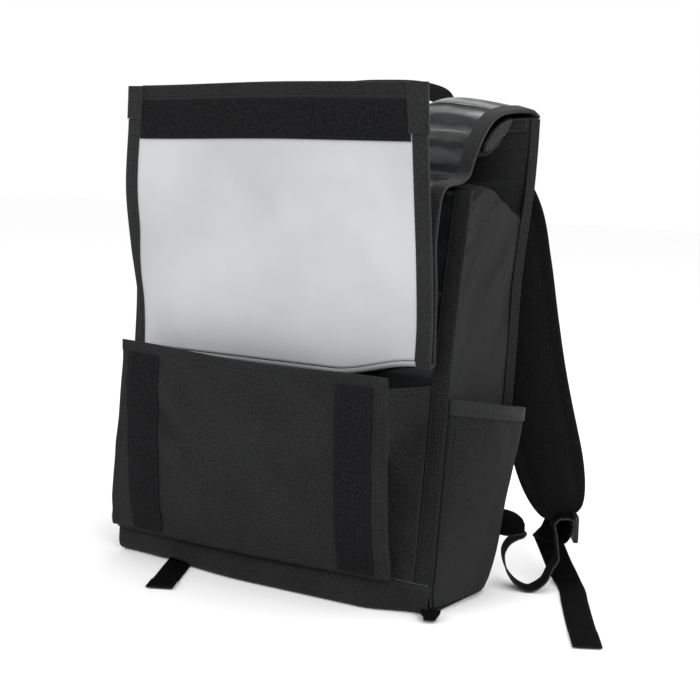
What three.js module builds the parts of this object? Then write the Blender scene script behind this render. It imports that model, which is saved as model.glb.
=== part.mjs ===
// Roll-top backpack with its long cover sheet folded down the front and its free end standing up.
// Millimetres, +Z up, the front faces -Y. The origin is on the flat bottom, which stands at z = 0.
import * as THREE from "three";

// Driving sizes
const GAP = 0.3; // clearance between touching pieces
const CLOTH = 2; // coated nylon panels with their seam allowances
const THIN_CLOTH = 1.5; // pocket cloth
const BODY_HALF = 183; // half the width over the side panels
const FRONT_TOP = 383; // top edge of the front panel
const BACK_TOP = 453; // lowest level of the back panel's top edge
const WALL_LOW = 6; // lower edge of the walls, above the bottom panel
const STRIP_TOP = 26; // height of the bottom panel's turned-up front strip
const WEBBING = 25.4; // webbing width
const WEBBING_THICK = 1.6;
const TAPE_THICK = 1.2; // hems and hook strips
const SHEET_THICK = 2; // rubber outside and vinyl inside together
const BINDING_LEG = 12; // how far a folded binding reaches over an edge
const BINDING_WALL = 1;
const STRIP_WIDE = 38; // hook and loop strips

// The body seen from the side: front and back faces at each height
const BODY_ROWS = [
  { z: 0, front: -49, back: 44 },
  { z: 15, front: -53, back: 58 },
  { z: 40, front: -50, back: 71 },
  { z: 100, front: -44, back: 78 },
  { z: 170, front: -37, back: 91 },
  { z: 230, front: -31, back: 96 },
  { z: 300, front: -21, back: 101 },
  { z: 345, front: -13, back: 110 },
  { z: 387, front: -6, back: 119 },
  { z: 460, front: 6, back: 124 },
];

// The cover sheet seen from the side, from the back edge over the top and down to the fold
const COVER_ROWS = [
  { y: 124, z: BACK_TOP + 1.8, half: 178 },
  { y: 113, z: 455, half: 176 },
  { y: 100, z: 455, half: 174 },
  { y: 84, z: 453, half: 172 },
  { y: 67, z: 450, half: 171 },
  { y: 52, z: 444, half: 171 },
  { y: 37, z: 433, half: 171 },
  { y: 25, z: 420, half: 171 },
  { y: 16, z: 407, half: 171 },
  { y: 9, z: 396, half: 171 },
  { y: -5, z: 390, half: 171 },
  { y: -22, z: 388, half: 171 },
  { y: -35, z: 384, half: 171 },
  { y: -42, z: 373, half: 171 },
  { y: -46, z: 352, half: 171 },
  { y: -48, z: 330, half: 171 },
  { y: -44, z: 290, half: 171 },
  { y: -41, z: 250, half: 170 },
  { y: -40, z: 214.5, half: 170 },
];

// How much the cover and the back panel's top edge rise at each distance from the middle
const RISE_ROWS = [
  { x: 0, rise: 0 },
  { x: 58, rise: 0.5 },
  { x: 76, rise: 3 },
  { x: 92, rise: 11 },
  { x: 108, rise: 13 },
  { x: 125, rise: 12 },
  { x: 150, rise: 8.5 },
  { x: 171, rise: 5 },
  { x: 183, rise: 2.5 },
];

// The raised flap: its depth and its two edges at each height
const FLAP_ROWS = [
  { z: 215.1, y: -49, left: -169, right: 170 },
  { z: 262, y: -51, left: -167, right: 172 },
  { z: 316, y: -56, left: -171, right: 172 },
  { z: 371, y: -60, left: -175, right: 170 },
  { z: 436, y: -62, left: -171, right: 166 },
  { z: 477, y: -62, left: -170, right: 163 },
];

// The front pocket's face: its depth and edges at each height, with the mouth at the top
const POCKET_ROWS = [
  { z: 28, y: -66, left: -180, right: 147 },
  { z: 60, y: -72, left: -177, right: 148 },
  { z: 120, y: -79, left: -167, right: 149 },
  { z: 180, y: -84, left: -159, right: 150 },
  { z: 220, y: -85, left: -157, right: 150 },
];

// Reads a named column of a table as a smooth function of its key column
function column(rows, key, name) {
  const keys = rows.map((row) => row[key]);
  const values = rows.map((row) => row[name]);
  const curve = new THREE.CubicInterpolant(keys, values, 1);
  const low = keys[0];
  const high = keys[keys.length - 1];
  return (at) => curve.evaluate(THREE.MathUtils.clamp(at, low, high))[0];
}

const frontAt = column(BODY_ROWS, "z", "front");
const backAt = column(BODY_ROWS, "z", "back");
const { lerp, clamp, smoothstep } = THREE.MathUtils;
const point = (x, y, z) => new THREE.Vector3(x, y, z);
const steps = (count) => Array.from({ length: count + 1 }, (_, i) => i / count);
const riseAt = column(RISE_ROWS, "x", "rise");
const arch = (x) => riseAt(Math.abs(x));

// A hump that is 1 in the middle of a stretch and 0 at both its ends
function hump(at, from, to) {
  const across = clamp((at - from) / (to - from), 0, 1);
  return Math.sin(Math.PI * across) ** 2;
}

// Turns vertices and triangles into a closed solid whose faces look outwards
function solid(vertices, triangles) {
  const volume = triangles.reduce((sum, [a, b, c]) => {
    const cross = vertices[b].clone().cross(vertices[c]);
    return sum + vertices[a].dot(cross);
  }, 0);
  const faces = volume < 0 ? triangles.map(([a, b, c]) => [a, c, b]) : triangles;
  const geometry = new THREE.BufferGeometry().setFromPoints(vertices);
  geometry.setIndex(faces.flat());
  geometry.computeVertexNormals();
  return geometry;
}

// The normal of a surface given as a function of u and v
function normalAt(surface, u, v) {
  const reach = 1e-3;
  const along = surface(Math.min(u + reach, 1), v).sub(surface(Math.max(u - reach, 0), v));
  const across = surface(u, Math.min(v + reach, 1)).sub(surface(u, Math.max(v - reach, 0)));
  return along.cross(across).normalize();
}

// A cloth wall: a surface given as a function of u and v, with its thickness laid on it.
// lay 1 puts the thickness behind the surface, 0 in front of it and 0.5 on both sides.
function wall({ us, vs, surface, thickness, lay = 0.5 }) {
  const thick = typeof thickness === "function" ? thickness : () => thickness;
  const outer = [];
  const inner = [];
  for (const v of vs) {
    for (const u of us) {
      const normal = normalAt(surface, u, v);
      const here = surface(u, v);
      outer.push(here.clone().addScaledVector(normal, thick(u, v) * (1 - lay)));
      inner.push(here.clone().addScaledVector(normal, -thick(u, v) * lay));
    }
  }
  const wide = us.length;
  const count = outer.length;
  const triangles = [];
  const quad = (a, b, c, d) => triangles.push([a, b, c], [a, c, d]);
  for (let row = 0; row + 1 < vs.length; row += 1) {
    for (let col = 0; col + 1 < wide; col += 1) {
      const a = row * wide + col;
      quad(a, a + 1, a + wide + 1, a + wide);
      quad(count + a, count + a + wide, count + a + wide + 1, count + a + 1);
    }
    const left = row * wide;
    const right = left + wide - 1;
    quad(left, left + wide, count + left + wide, count + left);
    quad(right, count + right, count + right + wide, right + wide);
  }
  for (let col = 0; col + 1 < wide; col += 1) {
    const low = col;
    const high = (vs.length - 1) * wide + col;
    quad(low, count + low, count + low + 1, low + 1);
    quad(high, high + 1, count + high + 1, count + high);
  }
  return solid([...outer, ...inner], triangles);
}

// The same surface moved along its normal
function raised(surface, distance) {
  return (u, v) => surface(u, v).addScaledVector(normalAt(surface, u, v), distance);
}

// A folded binding: a U-shaped section that grips an edge without touching it
function binding(stations, { slot, leg = BINDING_LEG, side = BINDING_WALL }) {
  const half = slot / 2 + GAP;
  const section = [
    [leg, half],
    [leg, half + side],
    [-GAP - side, half + side],
    [-GAP - side, -half - side],
    [leg, -half - side],
    [leg, -half],
    [-GAP, -half],
    [-GAP, half],
  ];
  const outline = section.map(([a, b]) => new THREE.Vector2(a, b));
  const cap = THREE.ShapeUtils.triangulateShape(outline, []);
  const vertices = stations.flatMap(({ edge, inward, normal }) =>
    section.map(([a, b]) => edge.clone().addScaledVector(inward, a).addScaledVector(normal, b)),
  );
  const ring = section.length;
  const triangles = [];
  for (let row = 0; row + 1 < stations.length; row += 1) {
    for (let i = 0; i < ring; i += 1) {
      const next = (i + 1) % ring;
      const a = row * ring;
      triangles.push([a + i, a + next, a + ring + next], [a + i, a + ring + next, a + ring + i]);
    }
  }
  const last = (stations.length - 1) * ring;
  const turns = THREE.ShapeUtils.isClockWise(outline) ? 1 : -1;
  cap.forEach(([a, b, c]) => {
    triangles.push(turns > 0 ? [a, b, c] : [a, c, b]);
    triangles.push(turns > 0 ? [last + a, last + c, last + b] : [last + a, last + b, last + c]);
  });
  return solid(vertices, triangles);
}

// Stations for a binding along the edge u = 0 or u = 1 of a surface
function edgeStations(surface, u, vs) {
  const reach = 1e-3;
  const into = u > 0.5 ? u - 0.02 : u + 0.02;
  return vs.map((v) => {
    const edge = surface(u, v);
    const inward = surface(into, v).sub(edge).normalize();
    const along = surface(u, Math.min(v + reach, 1)).sub(surface(u, Math.max(v - reach, 0)));
    const normal = along.cross(inward).normalize();
    return { edge, inward, normal };
  });
}

const FLOOR_CLEAR = WEBBING_THICK / 2 + 0.05; // lowest middle line of webbing that lies on the floor

// A ribbon of webbing through a table of places, with the way its width points at each of them
function ribbon(rows, { count, width, thickness }) {
  const places = rows.map((row) => point(row.x, row.y, row.z));
  const path = new THREE.CatmullRomCurve3(places, false, "centripetal");
  const wides = new THREE.CatmullRomCurve3(rows.map((row) => point(row.wx, row.wy, row.wz)));
  const wideAt = typeof width === "function" ? width : () => width;
  const surface = (u, v) => {
    const tangent = path.getTangent(v);
    const wide = wides.getPoint(v);
    wide.addScaledVector(tangent, -wide.dot(tangent)).normalize();
    const place = path.getPoint(v).addScaledVector(wide, (u - 0.5) * wideAt(v));
    place.z = Math.max(place.z, FLOOR_CLEAR);
    return place;
  };
  return { us: steps(count.across), vs: steps(count.along), surface, thickness };
}

// The same rows for the other side
const mirrored = (rows) => rows.map((row) => ({ ...row, x: -row.x, wx: -row.wx }));

// Materials
const COLOURS = {
  nylon: { color: 0x25272a, roughness: 0.7, metalness: 0 },
  webbing: { color: 0x1d1e20, roughness: 0.75, metalness: 0 },
  rubber: { color: 0x17181a, roughness: 0.35, metalness: 0 },
  vinyl: { color: 0xc9cdce, roughness: 0.5, metalness: 0 },
  fastener: { color: 0x161718, roughness: 0.95, metalness: 0 },
  plastic: { color: 0x111213, roughness: 0.45, metalness: 0 },
};

const backpack = new THREE.Group();

function add(name, colours, geometry) {
  const mesh = new THREE.Mesh(geometry, new THREE.MeshStandardMaterial(COLOURS[colours]));
  mesh.name = name;
  backpack.add(mesh);
}

// The left webbing tail lies on the floor under the bag and lifts the bottom panel over itself
const TAIL_LINE = { x: -131.4, slope: -0.514, flat: 14.5, clear: 21, lift: WEBBING_THICK + 2 * GAP };
const tailX = (y) => TAIL_LINE.x + TAIL_LINE.slope * y;

// Bottom panel: flat on the floor, its front edge turned up as a strip
function bottomPanel() {
  const rows = [
    { y: 50, z: 0 },
    { y: 20, z: 0 },
    { y: -15, z: 0 },
    { y: -44, z: 0 },
    { y: -52, z: 1.5 },
    { y: -56.6, z: 7 },
    { y: -56.6, z: 16 },
    { y: -56.2, z: STRIP_TOP },
  ];
  const beside = [-TAIL_LINE.clear, -TAIL_LINE.flat, TAIL_LINE.flat, TAIL_LINE.clear];
  const columns = [
    { side: -BODY_HALF, lift: 0 },
    ...beside.map((off) => ({ off, lift: Math.abs(off) < TAIL_LINE.clear ? TAIL_LINE.lift : 0 })),
    { side: 0, lift: 0 },
    { side: BODY_HALF, lift: 0 },
  ];
  const us = steps(columns.length - 1);
  const vs = steps(rows.length - 1);
  const place = (col, row) => {
    const { side, off, lift } = columns[col];
    const { y, z } = rows[row];
    const x = off === undefined ? side : tailX(y) + off;
    return point(x, y, z + lift * (1 - z / STRIP_TOP));
  };
  const surface = (u, v) => {
    const across = u * (columns.length - 1);
    const along = v * (rows.length - 1);
    const col = Math.min(Math.floor(across), columns.length - 2);
    const row = Math.min(Math.floor(along), rows.length - 2);
    const low = place(col, row).lerp(place(col + 1, row), across - col);
    const high = place(col, row + 1).lerp(place(col + 1, row + 1), across - col);
    return low.lerp(high, along - row);
  };
  return wall({ us, vs, surface, thickness: CLOTH, lay: 1 });
}
add("bottom_panel", "nylon", bottomPanel());

// Front and back panels stand between the side panels
const PANEL_HALF = BODY_HALF - CLOTH - GAP;
const SHEET_COLUMNS = [
  0, 0.035, 0.075, 0.13, 0.19, 0.235, 0.28, 0.36, 0.5, 0.64, 0.72, 0.765, 0.81, 0.87, 0.925, 0.965, 1,
]; // close together where the sheet rises and where a binding grips it
function uprightPanel({ depthAt, top, rise, lay, rows, us }) {
  const surface = (u, v) => {
    const x = lerp(-PANEL_HALF, PANEL_HALF, u);
    const z = lerp(WALL_LOW, top, v) + rise(x) * smoothstep(v, 0.9, 1);
    return point(x, depthAt(z), z);
  };
  return wall({ us, vs: steps(rows), surface, thickness: CLOTH, lay });
}
const frontPanel = { depthAt: frontAt, top: FRONT_TOP, rise: () => 0, lay: 1, rows: 8, us: steps(6) };
add("front_panel", "rubber", uprightPanel(frontPanel));
const backPanel = { depthAt: backAt, top: BACK_TOP, rise: arch, lay: 0, rows: 12, us: SHEET_COLUMNS };
add("back_panel", "nylon", uprightPanel(backPanel));

// Side panels: flat below, folded inwards above a diagonal crease, and gathered under the cover sheet.
// The fold's front ridge leans back as it rises, and its back wall stands upright.
const PLEAT = { depth: 48, front: 28, lean: 0.7, turn: 15, back: 106, wall: 24 };
const CREASE = { front: 386, back: 356, rise: 38 };
const GATHER = { depth: 1.6, pitch: 8, from: -2, to: 34, low: 366, high: 412 };
const SIDE_TOP_ROWS = [
  { y: -60, top: FRONT_TOP - 2 },
  { y: -4, top: FRONT_TOP - 1 },
  { y: 14, top: 398 },
  { y: 36, top: 424 },
  { y: 64, top: 444 },
  { y: 96, top: 451 },
  { y: 126, top: BACK_TOP },
];
const sideTopAt = column(SIDE_TOP_ROWS, "y", "top");
function sideDepth(y, z) {
  const ridge = PLEAT.front + PLEAT.lean * Math.max(z - CREASE.front, 0);
  const across = clamp((y - PLEAT.front) / (PLEAT.back - PLEAT.front), 0, 1);
  const crease = lerp(CREASE.front, CREASE.back, across);
  const frontWall = smoothstep(y, ridge, ridge + PLEAT.turn);
  const backWall = 1 - smoothstep(y, PLEAT.back - PLEAT.wall, PLEAT.back);
  const fold = PLEAT.depth * frontWall * backWall * smoothstep(z, crease, crease + CREASE.rise);
  const wave = 0.5 + 0.5 * Math.sin((2 * Math.PI * z) / GATHER.pitch);
  const gather = GATHER.depth * wave * hump(y, GATHER.from, GATHER.to) * hump(z, GATHER.low, GATHER.high);
  return fold + gather;
}
const SIDE_ROWS = [0, 0.14, 0.32, 0.5, 0.68, 0.79, 0.84, 0.87, 0.9, 0.925, 0.95, 0.975, 1];
const SIDE_COLUMNS = [0, 0.1, 0.2, 0.28, 0.36, 0.43, 0.5, 0.56, 0.62, 0.68, 0.74, 0.8, 0.9, 1];
function sideSurface(side) {
  return (u, v) => {
    const level = lerp(WALL_LOW, BACK_TOP, v);
    const y = lerp(frontAt(level), backAt(level), u);
    const z = lerp(WALL_LOW, sideTopAt(y), v);
    const placed = clamp(y, frontAt(z), backAt(z) - GAP);
    return point(side * (BODY_HALF - sideDepth(placed, z)), placed, z);
  };
}
function sidePanel(side) {
  const lay = side > 0 ? 1 : 0;
  return wall({ us: SIDE_COLUMNS, vs: SIDE_ROWS, surface: sideSurface(side), thickness: CLOTH, lay });
}
const SIDES = [
  { side: -1, name: "left" },
  { side: 1, name: "right" },
];
SIDES.forEach(({ side, name }) => add(`side_panel_${name}`, "nylon", sidePanel(side)));

// Hem along each gusset's top edge, outside the cloth
SIDES.forEach(({ side, name }) => {
  const surface = raised(sideSurface(side), side * GAP);
  const us = SIDE_COLUMNS.slice(1, -2);
  const vs = SIDE_ROWS.slice(-2);
  const lay = side > 0 ? 0 : 1;
  add(`gusset_hem_${name}`, "webbing", wall({ us, vs, surface, thickness: TAPE_THICK, lay }));
});

// Webbing laid over the front seams and folded round the back ones
const FRONT_WEB = { inner: 167, outer: 184.5 };
const BACK_WEB = { inner: 160, leg: 20, thick: 2 };
SIDES.forEach(({ side, name }) => {
  const front = (u, v) => {
    const z = lerp(STRIP_TOP + 2, FRONT_TOP, v);
    return point(side * lerp(FRONT_WEB.inner, FRONT_WEB.outer, u), frontAt(z) - GAP, z);
  };
  const frontLay = side > 0 ? 0 : 1;
  const frontWeb = { us: [0, 1], vs: steps(8), surface: front, thickness: WEBBING_THICK, lay: frontLay };
  add(`front_webbing_${name}`, "webbing", wall(frontWeb));
  const back = (u, v) => {
    const z = lerp(WALL_LOW, BACK_TOP - 1, v);
    const seam = point(side * (BODY_HALF + GAP), backAt(z) + GAP, z);
    const behind = point(side * BACK_WEB.inner, seam.y, z);
    const beside = point(seam.x, seam.y - BACK_WEB.leg, z);
    return u < 0.5 ? behind.lerp(seam, u * 2) : seam.lerp(beside, u * 2 - 1);
  };
  const backLay = side > 0 ? 1 : 0;
  const backGrid = { us: [0, 0.5, 1], vs: steps(12), surface: back };
  const backWeb = { ...backGrid, thickness: BACK_WEB.thick, lay: backLay };
  add(`back_webbing_${name}`, "webbing", wall(backWeb));
});

// Cover sheet: over the top, down the front and round the fold in the front pocket
const FOLD = { centre: -44.5, radius: 4.5, z: 214.5, turns: 6 };
function coverProfile() {
  const drape = COVER_ROWS.map(({ y, z, half }) => ({ y, z, half }));
  const half = drape[drape.length - 1].half;
  const turn = steps(FOLD.turns).slice(1).map((part) => ({
    y: FOLD.centre + FOLD.radius * Math.cos(Math.PI * part),
    z: FOLD.z - FOLD.radius * Math.sin(Math.PI * part),
    half,
  }));
  return [...drape, ...turn];
}
const COVER = coverProfile();
const COVER_RIBS = { depth: 1.2, pitch: 62 };
const foldLift = (u) => 15 * smoothstep(u, 0.7, 0.965); // the fold's right end is tucked up
function coverSurface(u, v) {
  const along = v * (COVER.length - 1);
  const row = Math.min(Math.floor(along), COVER.length - 2);
  const part = along - row;
  const [a, b] = [COVER[row], COVER[row + 1]];
  const x = lerp(-1, 1, u) * lerp(a.half, b.half, part);
  const rise = arch(x) * (1 - smoothstep(along, 2, 9)) + foldLift(u) * smoothstep(along, 14, 18);
  const fade = hump(along, 1, 12) * hump(u, 0.06, 0.94);
  const rib = COVER_RIBS.depth * Math.sin((2 * Math.PI * x) / COVER_RIBS.pitch) * fade;
  return point(x, lerp(a.y, b.y, part), lerp(a.z, b.z, part) + rise + rib);
}
const COVER_STEPS = steps(COVER.length - 1);
add("cover_sheet", "rubber", wall({
  us: SHEET_COLUMNS,
  vs: COVER_STEPS,
  surface: coverSurface,
  thickness: SHEET_THICK,
}));
SIDES.forEach(({ side, name }) => {
  const stations = edgeStations(coverSurface, side > 0 ? 1 : 0, COVER_STEPS.slice(1));
  add(`cover_binding_${name}`, "webbing", binding(stations, { slot: SHEET_THICK }));
});

// Raised flap with its bound edges, corner tabs, hem and loop strip
const flapColumns = ["y", "left", "right"].map((name) => column(FLAP_ROWS, "z", name));
const [flapDepth, flapLeft, flapRight] = flapColumns;
const FLAP_LOW = FLAP_ROWS[0].z;
const FLAP_TOP = FLAP_ROWS[FLAP_ROWS.length - 1].z;
const FLAP_DIP = 3; // how much lower the flap's top edge is at its left end
const TAB_LOW = { left: 444, right: 431 };
function flapSurface(u, v) {
  const level = lerp(FLAP_LOW, FLAP_TOP - FLAP_DIP * (1 - smoothstep(u, 0, 0.6)), v);
  const z = level + foldLift(u) * (1 - smoothstep(v, 0, 0.5));
  return point(lerp(flapLeft(z), flapRight(z), u), flapDepth(z), z);
}
const flapPart = (z) => (z - FLAP_LOW) / (FLAP_TOP - FLAP_LOW);
const flapSheet = { us: SHEET_COLUMNS, vs: steps(10), surface: flapSurface, thickness: SHEET_THICK };
add("front_flap", "vinyl", wall(flapSheet));
SIDES.forEach(({ side, name }) => {
  const u = side > 0 ? 1 : 0;
  const tabAt = flapPart(TAB_LOW[name]);
  const edging = steps(9).map((part) => part * flapPart(TAB_LOW[name] - GAP));
  const stations = edgeStations(flapSurface, u, edging);
  add(`flap_binding_${name}`, "webbing", binding(stations, { slot: SHEET_THICK }));
  const tab = edgeStations(flapSurface, u, [tabAt, 1]);
  tab[1].edge.z += 1.5;
  add(`flap_tab_${name}`, "webbing", binding(tab, { slot: SHEET_THICK, leg: 14, side: 1.6 }));
});
const HEM_LEG = 15;
const HEM_SPAN = { from: 0.05, to: 0.95 };
function flapHem() {
  const across = steps(6).map((part) => lerp(HEM_SPAN.from, HEM_SPAN.to, part));
  const stations = across.map((u) => ({
    edge: flapSurface(u, 1),
    inward: point(0, 0, -1),
    normal: point(0, 1, 0),
  }));
  return binding(stations, { slot: SHEET_THICK, leg: HEM_LEG });
}
add("flap_hem", "nylon", flapHem());
function loopStrip() {
  const top = FLAP_TOP - HEM_LEG - GAP;
  const face = SHEET_THICK / 2 + GAP;
  const surface = (u, v) => {
    const z = lerp(top - STRIP_WIDE, top, v);
    const place = flapSurface(lerp(HEM_SPAN.from, HEM_SPAN.to, u), flapPart(z));
    return place.add(point(0, -face, 0));
  };
  return wall({ us: steps(6), vs: steps(2), surface, thickness: WEBBING_THICK, lay: 0 });
}
add("loop_strip", "fastener", loopStrip());

// Front pocket: a bulged face on two folded pleats, closed below by a narrow floor
const pocketColumns = ["y", "left", "right"].map((name) => column(POCKET_ROWS, "z", name));
const [pocketDepth, pocketLeft, pocketRight] = pocketColumns;
const POCKET_LOW = POCKET_ROWS[0].z;
const POCKET_TOP = POCKET_ROWS[POCKET_ROWS.length - 1].z;
const POCKET_SAG = { middle: 3, right: -3, left: 4, bulge: 4 };
function pocketSurface(u, v) {
  const level = lerp(POCKET_LOW, POCKET_TOP, v);
  const lift = lerp(POCKET_SAG.left, POCKET_SAG.right, u) - POCKET_SAG.middle * hump(u, 0, 1);
  const x = lerp(pocketLeft(level), pocketRight(level), u);
  return point(x, pocketDepth(level) - POCKET_SAG.bulge * hump(u, 0, 1), level + lift * v);
}
const pocketFace = { us: steps(10), vs: steps(7), surface: pocketSurface };
add("pocket_face", "nylon", wall({ ...pocketFace, thickness: THIN_CLOTH, lay: 1 }));
const PLEAT_CREASE = { inset: 42, open: 6, share: 0.42, top: 206.5 }; // open: the inset at the mouth
const FLANGE = FRONT_WEB.inner - 4 * GAP;
SIDES.forEach(({ side, name }) => {
  const edgeU = side > 0 ? 1 : 0;
  const surface = (u, v) => {
    const z = lerp(POCKET_LOW, PLEAT_CREASE.top, v);
    const face = pocketSurface(edgeU, (z - POCKET_LOW) / (POCKET_TOP - POCKET_LOW));
    const near = point(face.x - side * 3, face.y + (THIN_CLOTH + GAP) * 1.5, z);
    const seam = point(side * FLANGE, frontAt(z) - CLOTH * 0.5 - GAP, z);
    const crease = point(0, lerp(seam.y, near.y, PLEAT_CREASE.share), z);
    crease.x = side * (FLANGE - lerp(PLEAT_CREASE.inset, PLEAT_CREASE.open, smoothstep(v, 0.35, 1)));
    return u < 0.5 ? seam.lerp(crease, u * 2) : crease.lerp(near, u * 2 - 1);
  };
  const pleat = { us: steps(6), vs: steps(6), surface, thickness: THIN_CLOTH };
  add(`pocket_pleat_${name}`, "nylon", wall(pleat));
});
function pocketFloor() {
  const surface = (u, v) => {
    const face = pocketSurface(lerp(0.02, 0.98, u), 0);
    return point(face.x, lerp(frontAt(STRIP_TOP) - GAP, face.y, v), STRIP_TOP + GAP);
  };
  return wall({ us: steps(8), vs: [0, 1], surface, thickness: TAPE_THICK, lay: 1 });
}
add("pocket_floor", "nylon", pocketFloor());

// Hook strips down the pocket face: their inner edges at the top and the bottom
const HOOKS = [
  { name: "left", top: -148.5, low: -157 },
  { name: "right", top: 97, low: 91 },
];
HOOKS.forEach(({ name, top, low }) => {
  const surface = (u, v) => {
    const part = lerp(0.01, 0.94, v);
    const level = lerp(POCKET_LOW, POCKET_TOP, part);
    const x = lerp(low, top, v) + STRIP_WIDE * u;
    const across = (x - pocketLeft(level)) / (pocketRight(level) - pocketLeft(level));
    return pocketSurface(across, part).add(point(0, -2 * GAP, 0));
  };
  const strip = { us: steps(2), vs: steps(7), surface, thickness: TAPE_THICK, lay: 0 };
  add(`hook_strip_${name}`, "fastener", wall(strip));
});

// Side pockets: bulged cloth sewn to the side panels, with a hem band round the mouth
const SIDE_POCKET = { front: 4, back: 3, low: 6, topFront: 196, topBack: 176, hem: 0.925 };
const SIDE_SWELL = { base: 5, bulge: 22, box: 0.5, back: 1.5 };
function sidePocketSurface(side) {
  return (u, v) => {
    const top = lerp(SIDE_POCKET.topFront, SIDE_POCKET.topBack, u);
    const z = lerp(SIDE_POCKET.low, top, v);
    const y = lerp(frontAt(z) + SIDE_POCKET.front, backAt(z) - SIDE_POCKET.back, u);
    const swell = SIDE_SWELL.base + SIDE_SWELL.bulge * smoothstep(v, 0, 0.95);
    const over = (BACK_WEB.thick + GAP) * smoothstep(u, 0.6, 0.8);
    const out = swell * Math.sin(Math.PI * u ** SIDE_SWELL.back) ** SIDE_SWELL.box;
    return point(side * (BODY_HALF + GAP + over + out), y, z);
  };
}
const POCKET_COLUMNS = [0, 0.03, 0.1, 0.2, 0.32, 0.44, 0.56, 0.68, 0.8, 0.9, 0.97, 1];
SIDES.forEach(({ side, name }) => {
  const lay = side > 0 ? 0 : 1;
  const cloth = { us: POCKET_COLUMNS, vs: steps(7), surface: sidePocketSurface(side) };
  add(`side_pocket_${name}`, "nylon", wall({ ...cloth, thickness: THIN_CLOTH, lay }));
  const outside = raised(sidePocketSurface(side), side * (THIN_CLOTH + GAP));
  const band = (u, v) => outside(u, lerp(SIDE_POCKET.hem, 1, v));
  const hem = { us: POCKET_COLUMNS, vs: [0, 1], surface: band, thickness: TAPE_THICK, lay };
  add(`side_pocket_hem_${name}`, "webbing", wall(hem));
});

// Shoulder straps: padded in the middle, flat and bound along the edges and at the sewn ends
const STRAP = { width: 72, tip: 32, taper: 0.86, edge: 3, pad: 9, sewn: 0.06 };
const STRAP_ROWS = [
  { x: 106, y: 125.5, z: 424, wx: 1, wy: 0.04, wz: 0.35 },
  { x: 127, y: 129, z: 397, wx: 1, wy: 0.02, wz: 0.4 },
  { x: 150, y: 136, z: 360, wx: 1, wy: 0.1, wz: 0.4 },
  { x: 160, y: 141, z: 310, wx: 1, wy: 0.2, wz: 0.2 },
  { x: 169, y: 143, z: 255, wx: 1, wy: 0.28, wz: 0.15 },
  { x: 181, y: 142, z: 200, wx: 1, wy: 0.32, wz: 0.2 },
  { x: 194, y: 139, z: 150, wx: 1, wy: 0.34, wz: 0.2 },
  { x: 207, y: 135.5, z: 105, wx: 1, wy: 0.34, wz: 0.3 },
  { x: 226, y: 131.4, z: 68, wx: 1, wy: 0.34, wz: 0.5 },
];
function shoulderStrap(rows) {
  const width = (v) => lerp(STRAP.width, STRAP.tip, smoothstep(v, STRAP.taper, 1));
  const thickness = (u, v) => {
    const middle = smoothstep(Math.min(u, 1 - u), 0.1, 0.2) * smoothstep(Math.min(v, 1 - v), 0, STRAP.sewn);
    return lerp(STRAP.edge, STRAP.pad, middle);
  };
  const strap = ribbon(rows, { count: { across: 1, along: 20 }, width, thickness });
  return wall({ ...strap, us: [0, 0.1, 0.2, 0.8, 0.9, 1] });
}
const STRAP_SETS = { right: STRAP_ROWS, left: mirrored(STRAP_ROWS) };
Object.entries(STRAP_SETS).forEach(([name, rows]) => {
  add(`shoulder_strap_${name}`, "nylon", shoulderStrap(rows));
});

// Buckles: flat frames with two slots, hung on the strap tips
const BUCKLE = { wide: 34, tall: 26, thick: 4, corner: 4, slot: 26, gapTall: 5.5, bar: 3.5 };
const BUCKLE_PLACE = { x: 243.6, y: 123.5, z: 58.4, turn: 2.13 };
function buckle(side) {
  const outline = (halfWide, low, high, corner) => {
    const shape = new THREE.Shape();
    shape.moveTo(-halfWide + corner, low);
    shape.lineTo(halfWide - corner, low);
    shape.quadraticCurveTo(halfWide, low, halfWide, low + corner);
    shape.lineTo(halfWide, high - corner);
    shape.quadraticCurveTo(halfWide, high, halfWide - corner, high);
    shape.lineTo(-halfWide + corner, high);
    shape.quadraticCurveTo(-halfWide, high, -halfWide, high - corner);
    shape.lineTo(-halfWide, low + corner);
    shape.quadraticCurveTo(-halfWide, low, -halfWide + corner, low);
    return shape;
  };
  const { wide, tall, thick, corner, slot, gapTall, bar } = BUCKLE;
  const shape = outline(wide / 2, -tall / 2, tall / 2, corner);
  const centre = (gapTall + bar) / 2;
  [-centre, centre].forEach((middle) => {
    shape.holes.push(outline(slot / 2, middle - gapTall / 2, middle + gapTall / 2, 1));
  });
  const plate = { depth: thick, bevelEnabled: false, curveSegments: 3 };
  const geometry = new THREE.ExtrudeGeometry(shape, plate);
  geometry.translate(0, 0, -thick / 2);
  geometry.rotateX(Math.PI / 2);
  geometry.rotateZ(side * BUCKLE_PLACE.turn);
  geometry.translate(side * BUCKLE_PLACE.x, BUCKLE_PLACE.y, BUCKLE_PLACE.z);
  return geometry;
}
SIDES.forEach(({ side, name }) => add(`strap_buckle_${name}`, "plastic", buckle(side)));

// A place beside the right buckle, with the webbing's width given along the buckle, away from it and up
function besideBuckle(distance, along, up, [wide, away, tall] = [1, 0, 0]) {
  const { x, y, z, turn } = BUCKLE_PLACE;
  const [c, s] = [Math.cos(turn), Math.sin(turn)];
  const place = { x: x + c * along - s * distance, y: y + s * along + c * distance, z: z + up };
  return { ...place, wx: c * wide - s * away, wy: s * wide + c * away, wz: tall };
}
const BESIDE = BUCKLE.thick / 2 + GAP + WEBBING_THICK / 2;

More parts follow.
